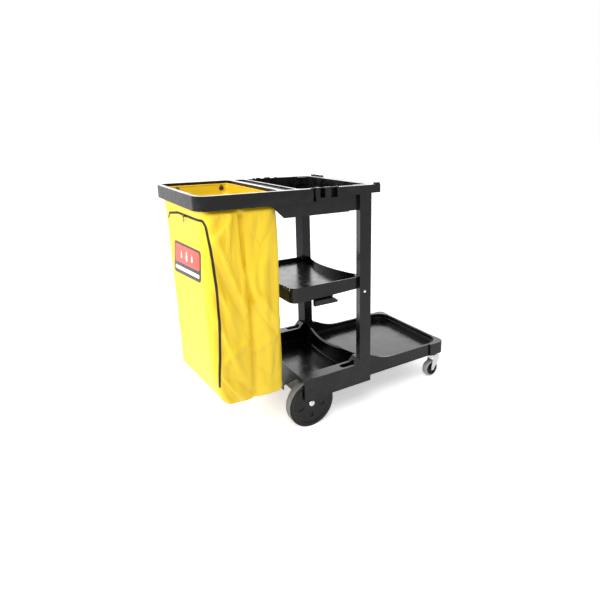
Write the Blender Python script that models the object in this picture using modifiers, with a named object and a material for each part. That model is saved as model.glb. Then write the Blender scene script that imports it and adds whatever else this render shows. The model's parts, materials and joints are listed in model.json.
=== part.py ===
"""Housekeeping cart: a moulded frame with a zipped waste bag, on two rear wheels and two swivel casters.

Metres, +Z up. +X runs from the bag end to the front platform, and the origin is on the floor under
the middle of the cart.
"""

import math

import bmesh
import bpy
from mathutils import Matrix, Vector

# Overall size
LENGTH, WIDTH, RIM_TOP = 1.168, 0.552, 0.975
REAR_X, FRONT_X, SIDE_Y = -LENGTH / 2, LENGTH / 2, WIDTH / 2
WALL = 0.004
GAP = 0.0003
FAR = 2.0  # long enough for a cutter to reach past the whole cart

# Top frame
BAND_DEEP_Z, BAND_THIN_Z, BAND_END_Z = 0.877, 0.925, 0.942
CHAMFER_TOP_X, CHAMFER_LOW_X = -0.321, -0.272
OVERHANG_X = 0.167
OPENING_X, OPENING_Y = (-0.566, -0.278), 0.256
TROUGH_X, TROUGH_Y, TROUGH_Z = (-0.254, -0.208), 0.250, 0.957
TRAY_X, TRAY_Y, TRAY_Z = (-0.196, 0.112), 0.252, 0.886
SLOTS = ((-0.149, -0.138, 0.927), (-0.120, -0.098, 0.940), (-0.073, -0.044, 0.938))
TOOTH_RISE = 0.006
TEETH_Y = (0.178, 0.212, 0.246)
RECESS_X, RECESS_Z, RECESS_Y = (0.008, 0.0605), 0.940, 0.262
PEG_X, PEG_Z, PEG_R = (-0.500, -0.3115), 0.9435, 0.0035

# Uprights
POST_X, POST_SLANT, POST_IN_Y = (0.061, 0.117), 0.013, 0.230
POST_LOW_Z = 0.238
SPIGOT_INSET, SPIGOT_LOW_Z, SPIGOT_TOP_Z = 0.0043, 0.175, 0.925
BORE_INSET = 0.0080
SCREW_X, SCREW_Z, SCREW_R, SCREW_HEAD_R = 0.089, 0.535, 0.0030, 0.0078

# Middle shelf
SHELF_X, SHELF_Y, SHELF_TOP, SHELF_FLOOR = (-0.242, 0.0635), 0.262, 0.600, 0.557
SHELF_LOW_Z = (0.538, 0.553)
SHELF_RIM_FALL = 0.024  # how much lower the rim is on the left side than on the right
SHELF_END_X = 0.130  # past the scooped edge
SHELF_FRONT = ((-0.2297, 0.102), (-0.213, 0.086), (-0.170, 0.075), (-0.085, 0.065), (-0.020, 0.0625),
               (0.058, 0.0666), (0.110, 0.075), (0.160, 0.088), (0.200, 0.101), (0.2297, 0.112))
TAB_X, TAB_LOW_Z, TAB_THICK = (0.0800, 0.113), 0.516, 0.0052
HOOK_X, HOOK_Z = (-0.151, -0.047), (0.516, 0.539)

# Base
BASE_Z = 0.1225
RAIL_X, RAIL_TOP, RAIL_IN_Y = (-0.2085, 0.1185), 0.2145, 0.222
APRON_X, APRON_Y, APRON_Z = -0.277, 0.262, (0.172, 0.197)
REAR_FLOOR = 0.136
PARTITION_X, PARTITION_BULGE, PARTITION_THICK = 0.084, 0.034, 0.006
DECK_Y, DECK_Z, DECK_TOP, DECK_FLOOR = 0.2445, 0.126, 0.185, 0.148
CORNER_Y, CORNER_X, DECK_END_X = (0.185, 0.253), 0.495, 0.540
LEDGE_SLOT = (-0.022, 0.048, 0.234, 0.265)

# Rear wheels
AXLE_X, AXLE_R, AXLE_Z = -0.173, 0.0063, 0.1016
WHEEL_R, WHEEL_Y, WHEEL_HALF = 0.1016, 0.251, 0.018
TREAD_INNER_R = 0.0955

# Casters: the fork and the swivel hang below DECK_Z
SWIVEL_X, SWIVEL_Y, TRAIL = 0.557, 0.213, 0.0235
CASTER_R, CASTER_HALF = 0.040, 0.0155
FORK_TOP_Z, FORK_SHEET = DECK_Z - 0.0160, 0.0020
FORK_HALF = CASTER_HALF + 0.0022

# Bag: (z, x low, x high, y low, y high, corner radius), from the rim down
NECK_Y = 0.2530
BAG_RINGS = (
    (0.958, -0.5630, -0.2810, -NECK_Y, NECK_Y, 0.020),
    (0.924, -0.5630, -0.2810, -NECK_Y, NECK_Y, 0.020),
    (0.911, -0.5640, -0.2860, -0.2680, 0.2520, 0.045),
    (0.865, -0.5640, -0.2810, -0.2680, 0.2450, 0.050),
    (0.620, -0.5640, -0.2730, -0.2680, 0.2280, 0.050),
    (0.390, -0.5630, -0.2780, -0.2680, 0.2040, 0.050),
    (0.240, -0.5610, -0.2870, -0.2660, 0.2000, 0.052),
    (0.202, -0.5480, -0.3000, -0.2560, 0.1920, 0.045),
)
BAG_SHEET = 0.0025

# Zip: its middle line as (distance round the bag from the end face's middle, z)
ZIP_ROUTE = ((-0.172, 0.848), (-0.150, 0.870, 0.015), (-0.030, 0.886), (0.184, 0.890),
             (0.247, 0.892, 0.010), (0.2555, 0.874), (0.266, 0.801), (0.277, 0.665),
             (0.2805, 0.530), (0.277, 0.400), (0.269, 0.279))
ZIP_WIDTH, ZIP_THICK, ZIP_LIFT = 0.009, 0.0012, 0.0012
ZIP_STEP_ROUND, ZIP_STEP_DOWN = 0.014, 0.060
SLIDER_Y, SLIDER_Z = -0.070, 0.888
BAIL_REACH = 0.0055

# Patch on the end face, as (y, z) corners
PATCH = ((0.152, 0.632), (-0.196, 0.664), (-0.222, 0.783), (0.112, 0.768))
PATCH_X = (-0.5657, -0.5645)

COLOURS = {
    "moulding": ((0.030, 0.031, 0.033, 1), 0.28, 0.0),
    "hub": ((0.025, 0.025, 0.027, 1), 0.35, 0.0),
    "tread": ((0.32, 0.32, 0.33, 1), 0.70, 0.0),
    "steel": ((0.75, 0.76, 0.78, 1), 0.22, 1.0),
    "nylon": ((0.60, 0.60, 0.58, 1), 0.45, 0.0),
    "vinyl": ((0.90, 0.68, 0.06, 1), 0.45, 0.0),
    "tape": ((0.030, 0.028, 0.025, 1), 0.80, 0.0),
    "brass": ((0.45, 0.35, 0.16, 1), 0.35, 1.0),
    "patch": ((0.78, 0.22, 0.16, 1), 0.50, 0.0),
}

AXIS_FRAMES = {
    "X": Matrix(((0, 0, 1), (1, 0, 0), (0, 1, 0))),
    "Y": Matrix(((1, 0, 0), (0, 0, -1), (0, 1, 0))),
    "Z": Matrix.Identity(3),
}


def clear_scene():
    for thing in list(bpy.data.objects):
        bpy.data.objects.remove(thing, do_unlink=True)


def make_collection(name):
    collection = bpy.data.collections.new(name)
    bpy.context.scene.collection.children.link(collection)
    return collection


def make_material(name):
    colour, roughness, metallic = COLOURS[name]
    material = bpy.data.materials.new(name)
    material.use_nodes = True
    shader = material.node_tree.nodes["Principled BSDF"]
    shader.inputs["Base Color"].default_value = colour
    shader.inputs["Roughness"].default_value = roughness
    shader.inputs["Metallic"].default_value = metallic
    return material


def add_object(name, mesh, material=None):
    """A part when it has a material, otherwise a cutter."""
    piece = bpy.data.objects.new(name, mesh)
    if material:
        CART.objects.link(piece)
        piece.data.materials.clear()
        piece.data.materials.append(MATERIALS[material])
        return piece
    CUTTERS.objects.link(piece)
    piece.hide_render = True
    piece.display_type = "WIRE"
    return piece


def rounded(corners, steps=4):
    """Outline points for corners (u, v) or (u, v, radius); a radius becomes an arc of a few chords."""
    points = []
    for i, corner in enumerate(corners):
        u, v = corner[:2]
        if len(corner) == 2:
            points.append((u, v))
            continue
        before, after = corners[i - 1], corners[(i + 1) % len(corners)]
        to_before = Vector((before[0] - u, before[1] - v, 0)).normalized()
        to_after = Vector((after[0] - u, after[1] - v, 0)).normalized()
        half = to_before.angle(to_after) / 2
        middle = (to_before + to_after).normalized() * (corner[2] / math.sin(half))
        start = to_before * (corner[2] / math.tan(half)) - middle
        end = to_after * (corner[2] / math.tan(half)) - middle
        for step in range(steps + 1):
            arm = start.slerp(end, step / steps).normalized() * corner[2]
            points.append((u + middle.x + arm.x, v + middle.y + arm.y))
    return points


def rectangle(u_range, v_range, radius=0.0):
    (u0, u1), (v0, v1) = u_range, v_range
    corners = ((u0, v0), (u1, v0), (u1, v1), (u0, v1))
    return rounded([(*corner, radius) for corner in corners]) if radius else list(corners)


def circle(u, v, radius, sides=16):
    turns = [2 * math.pi * i / sides for i in range(sides)]
    return [(u + radius * math.cos(t), v + radius * math.sin(t)) for t in turns]


def prism(name, outline, span, axis="Z", material=None):
    """A flat outline extruded over span along an axis: (x, y) for Z, (x, z) for Y and (y, z) for X."""
    curve = bpy.data.curves.new(name, "CURVE")
    curve.dimensions = "2D"
    curve.fill_mode = "BOTH"
    curve.extrude = (span[1] - span[0]) / 2
    spline = curve.splines.new("POLY")
    spline.points.add(len(outline) - 1)
    for point, (u, v) in zip(spline.points, outline):
        point.co = (u, v, 0, 1)
    spline.use_cyclic_u = True
    flat = bpy.data.objects.new(name, curve)
    bpy.context.scene.collection.objects.link(flat)
    graph = bpy.context.evaluated_depsgraph_get()
    mesh = bpy.data.meshes.new_from_object(flat.evaluated_get(graph))
    bpy.data.objects.remove(flat)
    weld(mesh)
    middle = (span[0] + span[1]) / 2
    forward = "XYZ".index(axis)
    mesh.transform(AXIS_FRAMES[axis].to_4x4())
    mesh.transform(Matrix.Translation([middle if i == forward else 0 for i in range(3)]))
    return add_object(name, mesh, material)


def weld(mesh):
    form = bmesh.new()
    form.from_mesh(mesh)
    bmesh.ops.remove_doubles(form, verts=form.verts, dist=1e-6)
    bmesh.ops.recalc_face_normals(form, faces=form.faces)
    form.to_mesh(mesh)
    form.free()


def box(name, x, y, z, material=None):
    return prism(name, rectangle(x, y), z, "Z", material)


def span_on(side, near, far):
    """The interval from near to far measured outwards from the middle plane, on one side."""
    return (near, far) if side > 0 else (-far, -near)


def boolean(piece, operation, tools):
    for tool in tools:
        modifier = piece.modifiers.new(tool.name, "BOOLEAN")
        modifier.operation = operation
        modifier.object = tool
        modifier.solver = "EXACT"


def cut(piece, *tools):
    boolean(piece, "DIFFERENCE", tools)


def join(piece, *tools):
    boolean(piece, "UNION", tools)


def turned(name, profile, place, axis="Z", steps=24, material=None, closed=False):
    """A profile of (radius, height) turned about an axis through place, running down its outer side."""
    mesh = bpy.data.meshes.new(name)
    last = len(profile) - 1
    edges = [(i, i + 1) for i in range(last)] + ([(last, 0)] if closed else [])
    mesh.from_pydata([(radius, 0, height) for radius, height in profile], edges, [])
    piece = add_object(name, mesh, material)
    screw = piece.modifiers.new("Turn", "SCREW")
    screw.steps = screw.render_steps = steps
    screw.use_merge_vertices = True
    screw.merge_threshold = 0.00001
    piece.matrix_world = Matrix.Translation(place) @ AXIS_FRAMES[axis].to_4x4()
    if material:
        mesh.shade_smooth()
    return piece


def ring(name, inner, outer, low, high, place, axis, material, steps=24, edge=0.0):
    """A turned ring with its two outer edges chamfered by edge."""
    profile = [(inner, low), (inner, high), (outer - edge, high), (outer, high - edge),
               (outer, low + edge), (outer - edge, low)]
    if not edge:
        profile = [(inner, low), (inner, high), (outer, high), (outer, low)]
    return turned(name, profile, place, axis, steps, material, closed=True)


def rod(name, radius, low, high, place, axis, material=None, steps=16):
    profile = [(0, high), (radius, high), (radius, low), (0, low)]
    return turned(name, profile, place, axis, steps, material)


def post_section(inset, side=1):
    """The upright's outline in plan: wide outside, with a slanted rear face, drawn in by inset."""
    slope = math.atan2(POST_SLANT, SIDE_Y - POST_IN_Y)
    rear = POST_X[0] + inset / math.cos(slope)
    inner, outer = POST_IN_Y + inset, SIDE_Y - inset
    def rear_at(y):
        return rear + (SIDE_Y - y) * math.tan(slope)
    outline = [(rear_at(outer), outer), (rear_at(inner), inner),
               (POST_X[1] - inset, inner), (POST_X[1] - inset, outer)]
    return [(x, y * side) for x, y in outline]


def make_top_frame():
    side_view = [(REAR_X, BAND_THIN_Z), (CHAMFER_TOP_X, BAND_THIN_Z), (CHAMFER_LOW_X, BAND_DEEP_Z),
                 (POST_X[1], BAND_DEEP_Z), (POST_X[1], BAND_END_Z), (OVERHANG_X, BAND_END_Z),
                 (OVERHANG_X, RIM_TOP), (REAR_X, RIM_TOP)]
    frame = prism("top_frame", side_view, (-SIDE_Y, SIDE_Y), "Y", "moulding")
    plan = rounded([(REAR_X, -SIDE_Y, 0.050), (OVERHANG_X, -SIDE_Y, 0.012),
                    (OVERHANG_X, SIDE_Y, 0.012), (REAR_X, SIDE_Y, 0.050)])
    boolean(frame, "INTERSECT", [prism("plan_of_top", plan, (0.5, 1.2))])
    inside = rounded([(REAR_X + WALL, -SIDE_Y + WALL, 0.046), (POST_X[1] - WALL, -SIDE_Y + WALL),
                      (POST_X[1] - WALL, SIDE_Y - WALL), (REAR_X + WALL, SIDE_Y - WALL, 0.046)])
    cut(frame, prism("under_top", inside, (0.5, RIM_TOP - WALL)))
    overhang = rectangle((POST_X[1], OVERHANG_X - WALL), (-SIDE_Y + WALL, SIDE_Y - WALL))
    cut(frame, prism("under_overhang", overhang, (0.5, RIM_TOP - WALL)))

    add_lined_pocket(frame, "opening", OPENING_X, OPENING_Y, 0.024, (0.931, None))
    add_lined_pocket(frame, "trough", TROUGH_X, TROUGH_Y, 0.010, (TROUGH_Z - WALL, TROUGH_Z))
    add_lined_pocket(frame, "tray", TRAY_X, TRAY_Y, 0.020, (TRAY_Z - WALL, TRAY_Z))
    for side in (-1, 1):
        y = span_on(side, 0.205, 0.240)
        middle = sum(TROUGH_X) / 2
        cut(frame, prism("trough_slot", rectangle((middle - 0.008, middle + 0.008), y, 0.006), (0.9, 1.0)))
        add_post_sleeve(frame, side)
        add_tool_slots(frame, side)
        for x in PEG_X:
            peg = rod("peg", PEG_R, -0.009, 0.002, (x, side * (OPENING_Y - 0.002), PEG_Z), "Y", None, 10)
            if side > 0:
                peg.matrix_world = peg.matrix_world @ Matrix.Rotation(math.pi, 4, "X")
            join(frame, peg)
    for side, teeth in ((-1, TEETH_Y[-1:]), (1, TEETH_Y)):
        for y in teeth:
            join(frame, box("tooth", (OVERHANG_X - 0.020, OVERHANG_X), span_on(side, y, y + 0.018),
                            (RIM_TOP - WALL / 2, RIM_TOP + TOOTH_RISE)))
    return frame


def add_lined_pocket(frame, name, x, half_y, radius, floor):
    """A pocket in the rim with its own thin wall. floor is (underside, top), and None is no floor."""
    grow = 0.003
    outer = rectangle((x[0] - grow, x[1] + grow), (-half_y - grow, half_y + grow), radius + grow)
    join(frame, prism(name + "_lining", outer, (floor[0], RIM_TOP - WALL / 2)))
    low = 0.5 if floor[1] is None else floor[1]
    cut(frame, prism(name + "_pocket", rectangle(x, (-half_y, half_y), radius), (low, 1.2)))


def add_post_sleeve(frame, side):
    sleeve = prism("sleeve", post_section(0, side), (BAND_DEEP_Z, RIM_TOP - WALL / 2))
    inner_plate = box("sleeve_floor", (POST_X[0] - WALL, POST_X[1] - 0.002), span_on(side, 0.224, 0.274),
                      (0.940, RIM_TOP - WALL / 2))
    join(frame, sleeve, inner_plate)
    socket = prism("sleeve_socket", post_section(WALL, side), (0.8, SPIGOT_TOP_Z + 0.003))
    cut(frame, socket)
    lining = box("recess_lining", (RECESS_X[0] - WALL, RECESS_X[1] + 0.003),
                 span_on(side, RECESS_Y - WALL, SIDE_Y - 0.001), (BAND_DEEP_Z, RECESS_Z + WALL))
    join(frame, lining)
    cut(frame, box("recess", RECESS_X, span_on(side, RECESS_Y, SIDE_Y + 0.01), (0.8, RECESS_Z)))


def add_tool_slots(frame, side):
    first, last = SLOTS[0][0], SLOTS[-1][1]
    comb = box("comb", (first - 0.004, last + 0.006), span_on(side, 0.262, SIDE_Y),
               (RIM_TOP - WALL / 2, RIM_TOP + TOOTH_RISE / 2))
    join(frame, comb)
    for x0, x1, z in SLOTS:
        cut(frame, box("tool_slot", (x0, x1), span_on(side, 0.2585, SIDE_Y + 0.01), (z, 1.2)))


def make_upright(name, side):
    post = prism(name, post_section(0, side), (POST_LOW_Z + GAP, BAND_DEEP_Z - GAP), "Z", "moulding")
    join(post, prism("spigot", post_section(SPIGOT_INSET, side), (SPIGOT_LOW_Z, SPIGOT_TOP_Z)))
    cut(post, prism("post_bore", post_section(BORE_INSET, side), (0.1, 1.0)))
    at_screw = (SCREW_X, side * 0.25, SCREW_Z)
    cut(post, rod("screw_way", SCREW_R + GAP, -0.05, 0.05, at_screw, "Y"))
    head_place = (SCREW_X, side * SIDE_Y, SCREW_Z)
    cut(post, rod("counterbore", SCREW_HEAD_R + 0.0012, -0.0045, 0.0045, head_place, "Y", None, 24))
    return post


def make_shelf():
    side_view = [(SHELF_X[0], SHELF_LOW_Z[0]), (SHELF_END_X, SHELF_LOW_Z[1]), (SHELF_END_X, SHELF_TOP),
                 (SHELF_X[0], SHELF_TOP)]
    shelf = prism("middle_shelf", side_view, (-SHELF_Y, SHELF_Y), "Y", "moulding")
    boolean(shelf, "INTERSECT", [prism("plan_of_shelf", shelf_plan(0), (0.4, 0.7))])
    cut(shelf, prism("shelf_pocket", shelf_plan(WALL), (SHELF_FLOOR, 0.7)))
    cut(shelf, prism("under_shelf", shelf_plan(WALL), (0.4, SHELF_FLOOR - WALL)))
    for side in (-1, 1):
        add_shelf_side(shelf, side)
    above = [(-SIDE_Y, rim_z(-SIDE_Y)), (SIDE_Y, rim_z(SIDE_Y)), (SIDE_Y, 0.8), (-SIDE_Y, 0.8)]
    cut(shelf, prism("above_rim", above, (SHELF_X[0] - 0.01, SHELF_END_X), "X"))
    return shelf


def rim_z(y):
    """The height of the shelf's rim, which falls from the right side to the left."""
    return SHELF_TOP - SHELF_RIM_FALL * (y + SHELF_Y) / (2 * SHELF_Y)


def shelf_plan(inset):
    """The shelf in plan: two rounded rear corners, and a front edge scooped in between the uprights."""
    rear, half = SHELF_X[0] + inset, SHELF_Y - inset
    near_post = POST_IN_Y - GAP - inset
    end = SHELF_X[1] - inset
    outline = [(rear, half, 0.034 - inset), (rear, -half, 0.034 - inset)]
    outline += [(end, -half), (end + 0.0090, -near_post)]
    outline += [(x - inset, max(-near_post, min(near_post, y))) for y, x in SHELF_FRONT]
    return rounded(outline + [(end + 0.0090, near_post), (end, half)])


def add_shelf_side(shelf, side):
    face = POST_IN_Y - GAP
    tab = box("tab", TAB_X, span_on(side, face - TAB_THICK, face), (TAB_LOW_Z, SHELF_TOP + 0.01))
    web = box("tab_web", (TAB_X[0] - 0.0135, TAB_X[0] + 0.002), span_on(side, face - TAB_THICK, face - 0.0001),
              (SHELF_LOW_Z[1], SHELF_TOP + 0.009))
    join(shelf, tab, web)
    cut(shelf, rod("tab_hole", SCREW_R + GAP, -0.02, 0.02, (SCREW_X, side * 0.228, SCREW_Z), "Y"))
    outer, inner = SHELF_Y - WALL + 0.0005, SIDE_Y
    low, high = HOOK_Z
    root = SHELF_LOW_Z[1] + WALL
    hook = [(outer, root), (outer, low), (inner - 0.004, low), (inner, low + 0.004), (inner, high),
            (inner - WALL, high), (inner - WALL, low + 0.006), (SHELF_Y - 0.0001, low + 0.006),
            (SHELF_Y - 0.0001, root)]
    outline = [(side * y, z) for y, z in hook]
    hook_body = prism("hook", outline, HOOK_X, "X")
    notch = rod("hook_notch", 0.011, -0.05, 0.05, (HOOK_X[1] - 0.004, side * SHELF_Y, high), "Y")
    cut(hook_body, notch)
    join(shelf, hook_body)
    cut(shelf, rod("side_groove", 0.0022, 0.5, 0.7, (0.050, side * SHELF_Y, 0), "Z", None, 10))
    for y in (0.178, 0.202, 0.226):
        cut(shelf, box("shelf_notch", (SHELF_X[0] - 0.01, SHELF_X[0] + 0.012), span_on(side, y, y + 0.010),
                       (rim_z(side * SHELF_Y) - 0.014, 0.7)))


def make_base():
    rail = [(RAIL_X[0], BASE_Z), (RAIL_X[1], BASE_Z), (RAIL_X[1], POST_LOW_Z),
            (POST_X[0] - 0.002, POST_LOW_Z), (POST_X[0] - 0.024, RAIL_TOP), (RAIL_X[0], RAIL_TOP)]
    base = prism("base_platform", rail, (-SIDE_Y, SIDE_Y), "Y", "moulding")
    deck = rounded([(0.110, DECK_Z), (DECK_END_X, DECK_Z), (DECK_END_X, DECK_TOP),
                    (0.225, DECK_TOP, 0.26), (0.130, 0.2285), (0.110, 0.231)], 6)
    join(base, prism("deck", deck, (-DECK_Y, DECK_Y), "Y"))
    join(base, box("front_bar", (CORNER_X, FRONT_X - 0.001), (-CORNER_Y[0] - 0.01, CORNER_Y[0] + 0.01),
                   (DECK_Z - 0.0005, DECK_TOP - 0.0005)))
    for side in (-1, 1):
        inner, outer = side * CORNER_Y[0], side * CORNER_Y[1]
        block = rounded([(CORNER_X, inner), (FRONT_X, inner), (FRONT_X, outer, 0.026), (CORNER_X, outer)])
        join(base, prism("corner_block", block, (DECK_Z + 0.0005, DECK_TOP + 0.0005)))
    apron = [(RAIL_X[0] + 0.003, RAIL_TOP - 0.0002), (APRON_X, APRON_Z[1]), (APRON_X, APRON_Z[1] - WALL),
             (RAIL_X[0] + 0.003, RAIL_TOP - WALL - 0.0005)]
    join(base, prism("apron", apron, (-APRON_Y, APRON_Y), "Y"))
    join(base, box("end_wall", (APRON_X + 0.0002, APRON_X + WALL), (-RAIL_IN_Y, RAIL_IN_Y),
                   (APRON_Z[0], APRON_Z[1] - WALL / 2)))
    hollow_base(base)
    for side in (-1, 1):
        add_hanger(base, side)
        cut_base_side(base, side)
    return base


def partition_arc(offset):
    """Points along the curved wall between the two trays, from the right side to the left."""
    steps = 14
    points = []
    for i in range(steps + 1):
        turn = 2 * i / steps - 1
        bow = PARTITION_BULGE * (1 - turn * turn)
        points.append((PARTITION_X + offset - bow, (POST_IN_Y - 0.004) * turn))
    return points


def hollow_base(base):
    rear_tray = partition_arc(-PARTITION_THICK)
    rear_tray[0] = (rear_tray[0][0], -RAIL_IN_Y)
    rear_tray[-1] = (rear_tray[-1][0], RAIL_IN_Y)
    rear_x = RAIL_X[0] + 0.006
    rear_tray += [(rear_x, RAIL_IN_Y, 0.018), (rear_x, -RAIL_IN_Y, 0.018)]
    cut(base, prism("rear_tray", rounded(rear_tray), (REAR_FLOOR, 0.4)))
    front = FRONT_X - 0.012
    side = DECK_Y - 0.010
    rear, clear = RAIL_X[1] + 0.012, POST_IN_Y - 0.0015
    corners = [(rear, -clear), (rear, -side, 0.004), (front, -side, 0.070), (front, side, 0.070),
               (rear, side, 0.004), (rear, clear)]
    deck_tray = rounded(corners + partition_arc(0)[::-1], 5)
    cut(base, prism("deck_tray", deck_tray, (DECK_FLOOR, 0.4)))
    cut(base, box("under_rear", (RAIL_X[0] + 0.006, 0.106), (-RAIL_IN_Y + WALL, RAIL_IN_Y - WALL),
                  (0.05, REAR_FLOOR - WALL)))
    cut(base, box("under_deck", (0.124, CORNER_X - WALL), (-DECK_Y + WALL, DECK_Y - WALL),
                  (0.05, DECK_FLOOR - WALL)))
    between = CORNER_Y[0] + 0.006
    cut(base, box("under_front", (CORNER_X - WALL - 0.001, FRONT_X - WALL), (-between, between),
                  (0.05, DECK_FLOOR - WALL)))


def add_hanger(base, side):
    """The web under the rear tray that carries the axle."""
    y = span_on(side, RAIL_IN_Y - WALL, RAIL_IN_Y + WALL)
    outline = rounded([(AXLE_X - 0.022, 0.082, 0.018), (AXLE_X + 0.022, 0.082, 0.018),
                       (AXLE_X + 0.040, REAR_FLOOR - WALL / 2), (AXLE_X - 0.026, REAR_FLOOR - WALL / 2)])
    join(base, prism("hanger", outline, y, "Y"))


def cut_base_side(base, side):
    wheel_well = span_on(side, RAIL_IN_Y + WALL, SIDE_Y - WALL)
    cut(base, box("wheel_well", (-0.30, POST_X[0] - 0.010), wheel_well, (0.05, RAIL_TOP - WALL - 0.0004)))
    cut(base, rod("axle_hole", AXLE_R + 0.0005, -0.02, 0.02, (AXLE_X, side * RAIL_IN_Y, AXLE_Z), "Y"))
    x0, x1, y0, y1 = LEDGE_SLOT
    slot = rectangle((x0, x1), span_on(side, y0, y1), (y1 - y0) / 2 - 0.0002)
    cut(base, prism("ledge_slot", slot, (0.19, 0.25)))
    socket = prism("post_socket", post_section(WALL, side), (SPIGOT_LOW_Z - 0.002, 0.4))
    cut(base, socket)
    bore = (SWIVEL_X, side * SWIVEL_Y, 0)
    cut(base, rod("stem_hole", 0.0093, 0.05, DECK_Z + 0.019, bore, "Z"))


def make_bag():
    """An open sack lofted down through its rings, with a wall turned inwards."""
    form = bmesh.new()
    loops = []
    for z, x0, x1, y0, y1, radius in BAG_RINGS:
        outline = rectangle((x0, x1), (y0, y1), radius)
        loops.append([form.verts.new((x, y, z)) for x, y in outline])
    for upper, lower in zip(loops, loops[1:]):
        count = len(upper)
        for i in range(count):
            j = (i + 1) % count
            form.faces.new((upper[i], lower[i], lower[j], upper[j]))
    form.faces.new(loops[-1][::-1])
    mesh = bpy.data.meshes.new("bag")
    form.to_mesh(mesh)
    form.free()
    bag = add_object("bag", mesh, "vinyl")
    shell = bag.modifiers.new("Wall", "SOLIDIFY")
    shell.thickness = BAG_SHEET
    shell.offset = -1
    shell.use_even_offset = True
    for side in (-1, 1):
        for x in PEG_X:
            place = (x, side * NECK_Y, PEG_Z)
            cut(bag, rod("eyelet_hole", PEG_R + 0.0016, -0.01, 0.01, place, "Y", None, 12))
    return bag


def make_bag_trim():
    z, x0, x1, y0, y1, radius = BAG_RINGS[0]
    outer = rectangle((x0 - 0.0008, x1 + 0.0008), (y0 - 0.0008, y1 + 0.0008), radius)
    inset = BAG_SHEET + 0.0008
    inner = rectangle((x0 + inset, x1 - inset), (y0 + inset, y1 - inset), radius - inset)
    binding = prism("bag_rim_binding", outer, (z + GAP, z + 0.006), "Z", "vinyl")
    cut(binding, prism("binding_hole", inner, (0.9, 1.0)))
    count = 0
    for side in (-1, 1):
        for x in PEG_X:
            count += 1
            face = NECK_Y - BAG_SHEET - GAP
            place = (x, side * face, PEG_Z)
            low, high = (-0.0012, 0) if side < 0 else (0, 0.0012)
            ring(f"bag_eyelet_{count}", PEG_R + 0.0012, PEG_R + 0.0052, low, high, place, "Y", "brass", 16)


def bag_face(z):
    """The bag's lowest x, lowest y and corner radius at height z."""
    for upper, lower in zip(BAG_RINGS, BAG_RINGS[1:]):
        if z >= lower[0]:
            share = (upper[0] - z) / (upper[0] - lower[0])
            return [upper[i] + (lower[i] - upper[i]) * share for i in (1, 3, 5)]
    return [BAG_RINGS[-1][i] for i in (1, 3, 5)]


def on_bag(s, z, lift):
    """The point at height z and distance s round the bag's right rear corner, moved outwards by lift."""
    x, y, radius = bag_face(z)
    bend = s + y + radius
    if bend <= 0:
        return (x - lift, -s, z)
    turn = min(bend / radius, math.pi / 2)
    past = bend - turn * radius
    arm = radius + lift
    return (x + radius - math.cos(turn) * arm + past, y + radius - math.sin(turn) * arm, z)


def zip_route():
    """The zip's middle line, with short steps round the bag and longer ones down it."""
    corners = rounded(list(ZIP_ROUTE), 3)
    points = [corners[0]]
    for before, after in zip(corners, corners[1:]):
        count = math.ceil(max(abs(after[0] - before[0]) / ZIP_STEP_ROUND, abs(after[1] - before[1]) / ZIP_STEP_DOWN))
        for i in range(1, count + 1):
            points.append(tuple(a + (b - a) * i / count for a, b in zip(before, after)))
    return points


def strip_edges(route, half):
    """The two edges of a strip of half-width half along a route."""
    left, right = [], []
    for i, (u, v) in enumerate(route):
        before, after = route[max(i - 1, 0)], route[min(i + 1, len(route) - 1)]
        du, dv = after[0] - before[0], after[1] - before[1]
        size = math.hypot(du, dv)
        left.append((u - dv / size * half, v + du / size * half))
        right.append((u + dv / size * half, v - du / size * half))
    return left, right


def make_zip_tape():
    form = bmesh.new()
    rows = []
    for (a, b) in zip(*strip_edges(zip_route(), ZIP_WIDTH / 2)):
        ends = [on_bag(*a, ZIP_LIFT), on_bag(*b, ZIP_LIFT),
                on_bag(*b, ZIP_LIFT + ZIP_THICK), on_bag(*a, ZIP_LIFT + ZIP_THICK)]
        rows.append([form.verts.new(end) for end in ends])
    for row, after in zip(rows, rows[1:]):
        for i in range(4):
            j = (i + 1) % 4
            form.faces.new((row[i], row[j], after[j], after[i]))
    form.faces.new(rows[0][::-1])
    form.faces.new(rows[-1])
    mesh = bpy.data.meshes.new("zip_tape")
    form.to_mesh(mesh)
    form.free()
    weld(mesh)
    add_object("zip_tape", mesh, "tape")


def make_zip_slider():
    z = SLIDER_Z
    tape_x = on_bag(0, z, ZIP_LIFT + ZIP_THICK)[0]
    face = tape_x - GAP - 0.004
    low, high = SLIDER_Y - 0.008, SLIDER_Y + 0.008
    outline = rounded([(low, z - 0.004), (high, z - 0.005, 0.002), (high, z + 0.005, 0.002), (low, z + 0.004)])
    slider = prism("zip_slider", outline, (face, tape_x - GAP), "X", "steel")
    across, along = (face - 0.0035, face + 0.001), (SLIDER_Y - 0.0012, SLIDER_Y + 0.0012)
    bail = box("bail", across, along, (z - BAIL_REACH, z + BAIL_REACH))
    inner = BAIL_REACH - 0.0018
    cut(bail, box("bail_gap", (face - 0.0022, face), (SLIDER_Y - 0.01, SLIDER_Y + 0.01), (z - inner, z + inner)))
    join(slider, bail)
    make_pull(face - 0.0011, z)


def make_pull(x, z):
    """The tab that hangs from the bail: its crossbar turns about an axis along Y through (x, z)."""
    half, bar = 0.0045, 0.0006
    plate = rounded([(SLIDER_Y - half, z + bar), (SLIDER_Y + half, z + bar),
                     (SLIDER_Y + half, z - 0.024, 0.003), (SLIDER_Y - half, z - 0.024, 0.003)])
    pull = prism("zip_pull", plate, (x - bar, x + bar), "X", "steel")
    cut(pull, box("pull_window", (x - 0.01, x + 0.01), (SLIDER_Y - 0.0018, SLIDER_Y + 0.0018),
                  (z - 0.0068, z - bar)))
    cut(pull, rod("pull_hole", 0.0015, -0.6, 0.6, (0, SLIDER_Y, z - 0.019), "X", None, 10))


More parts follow.
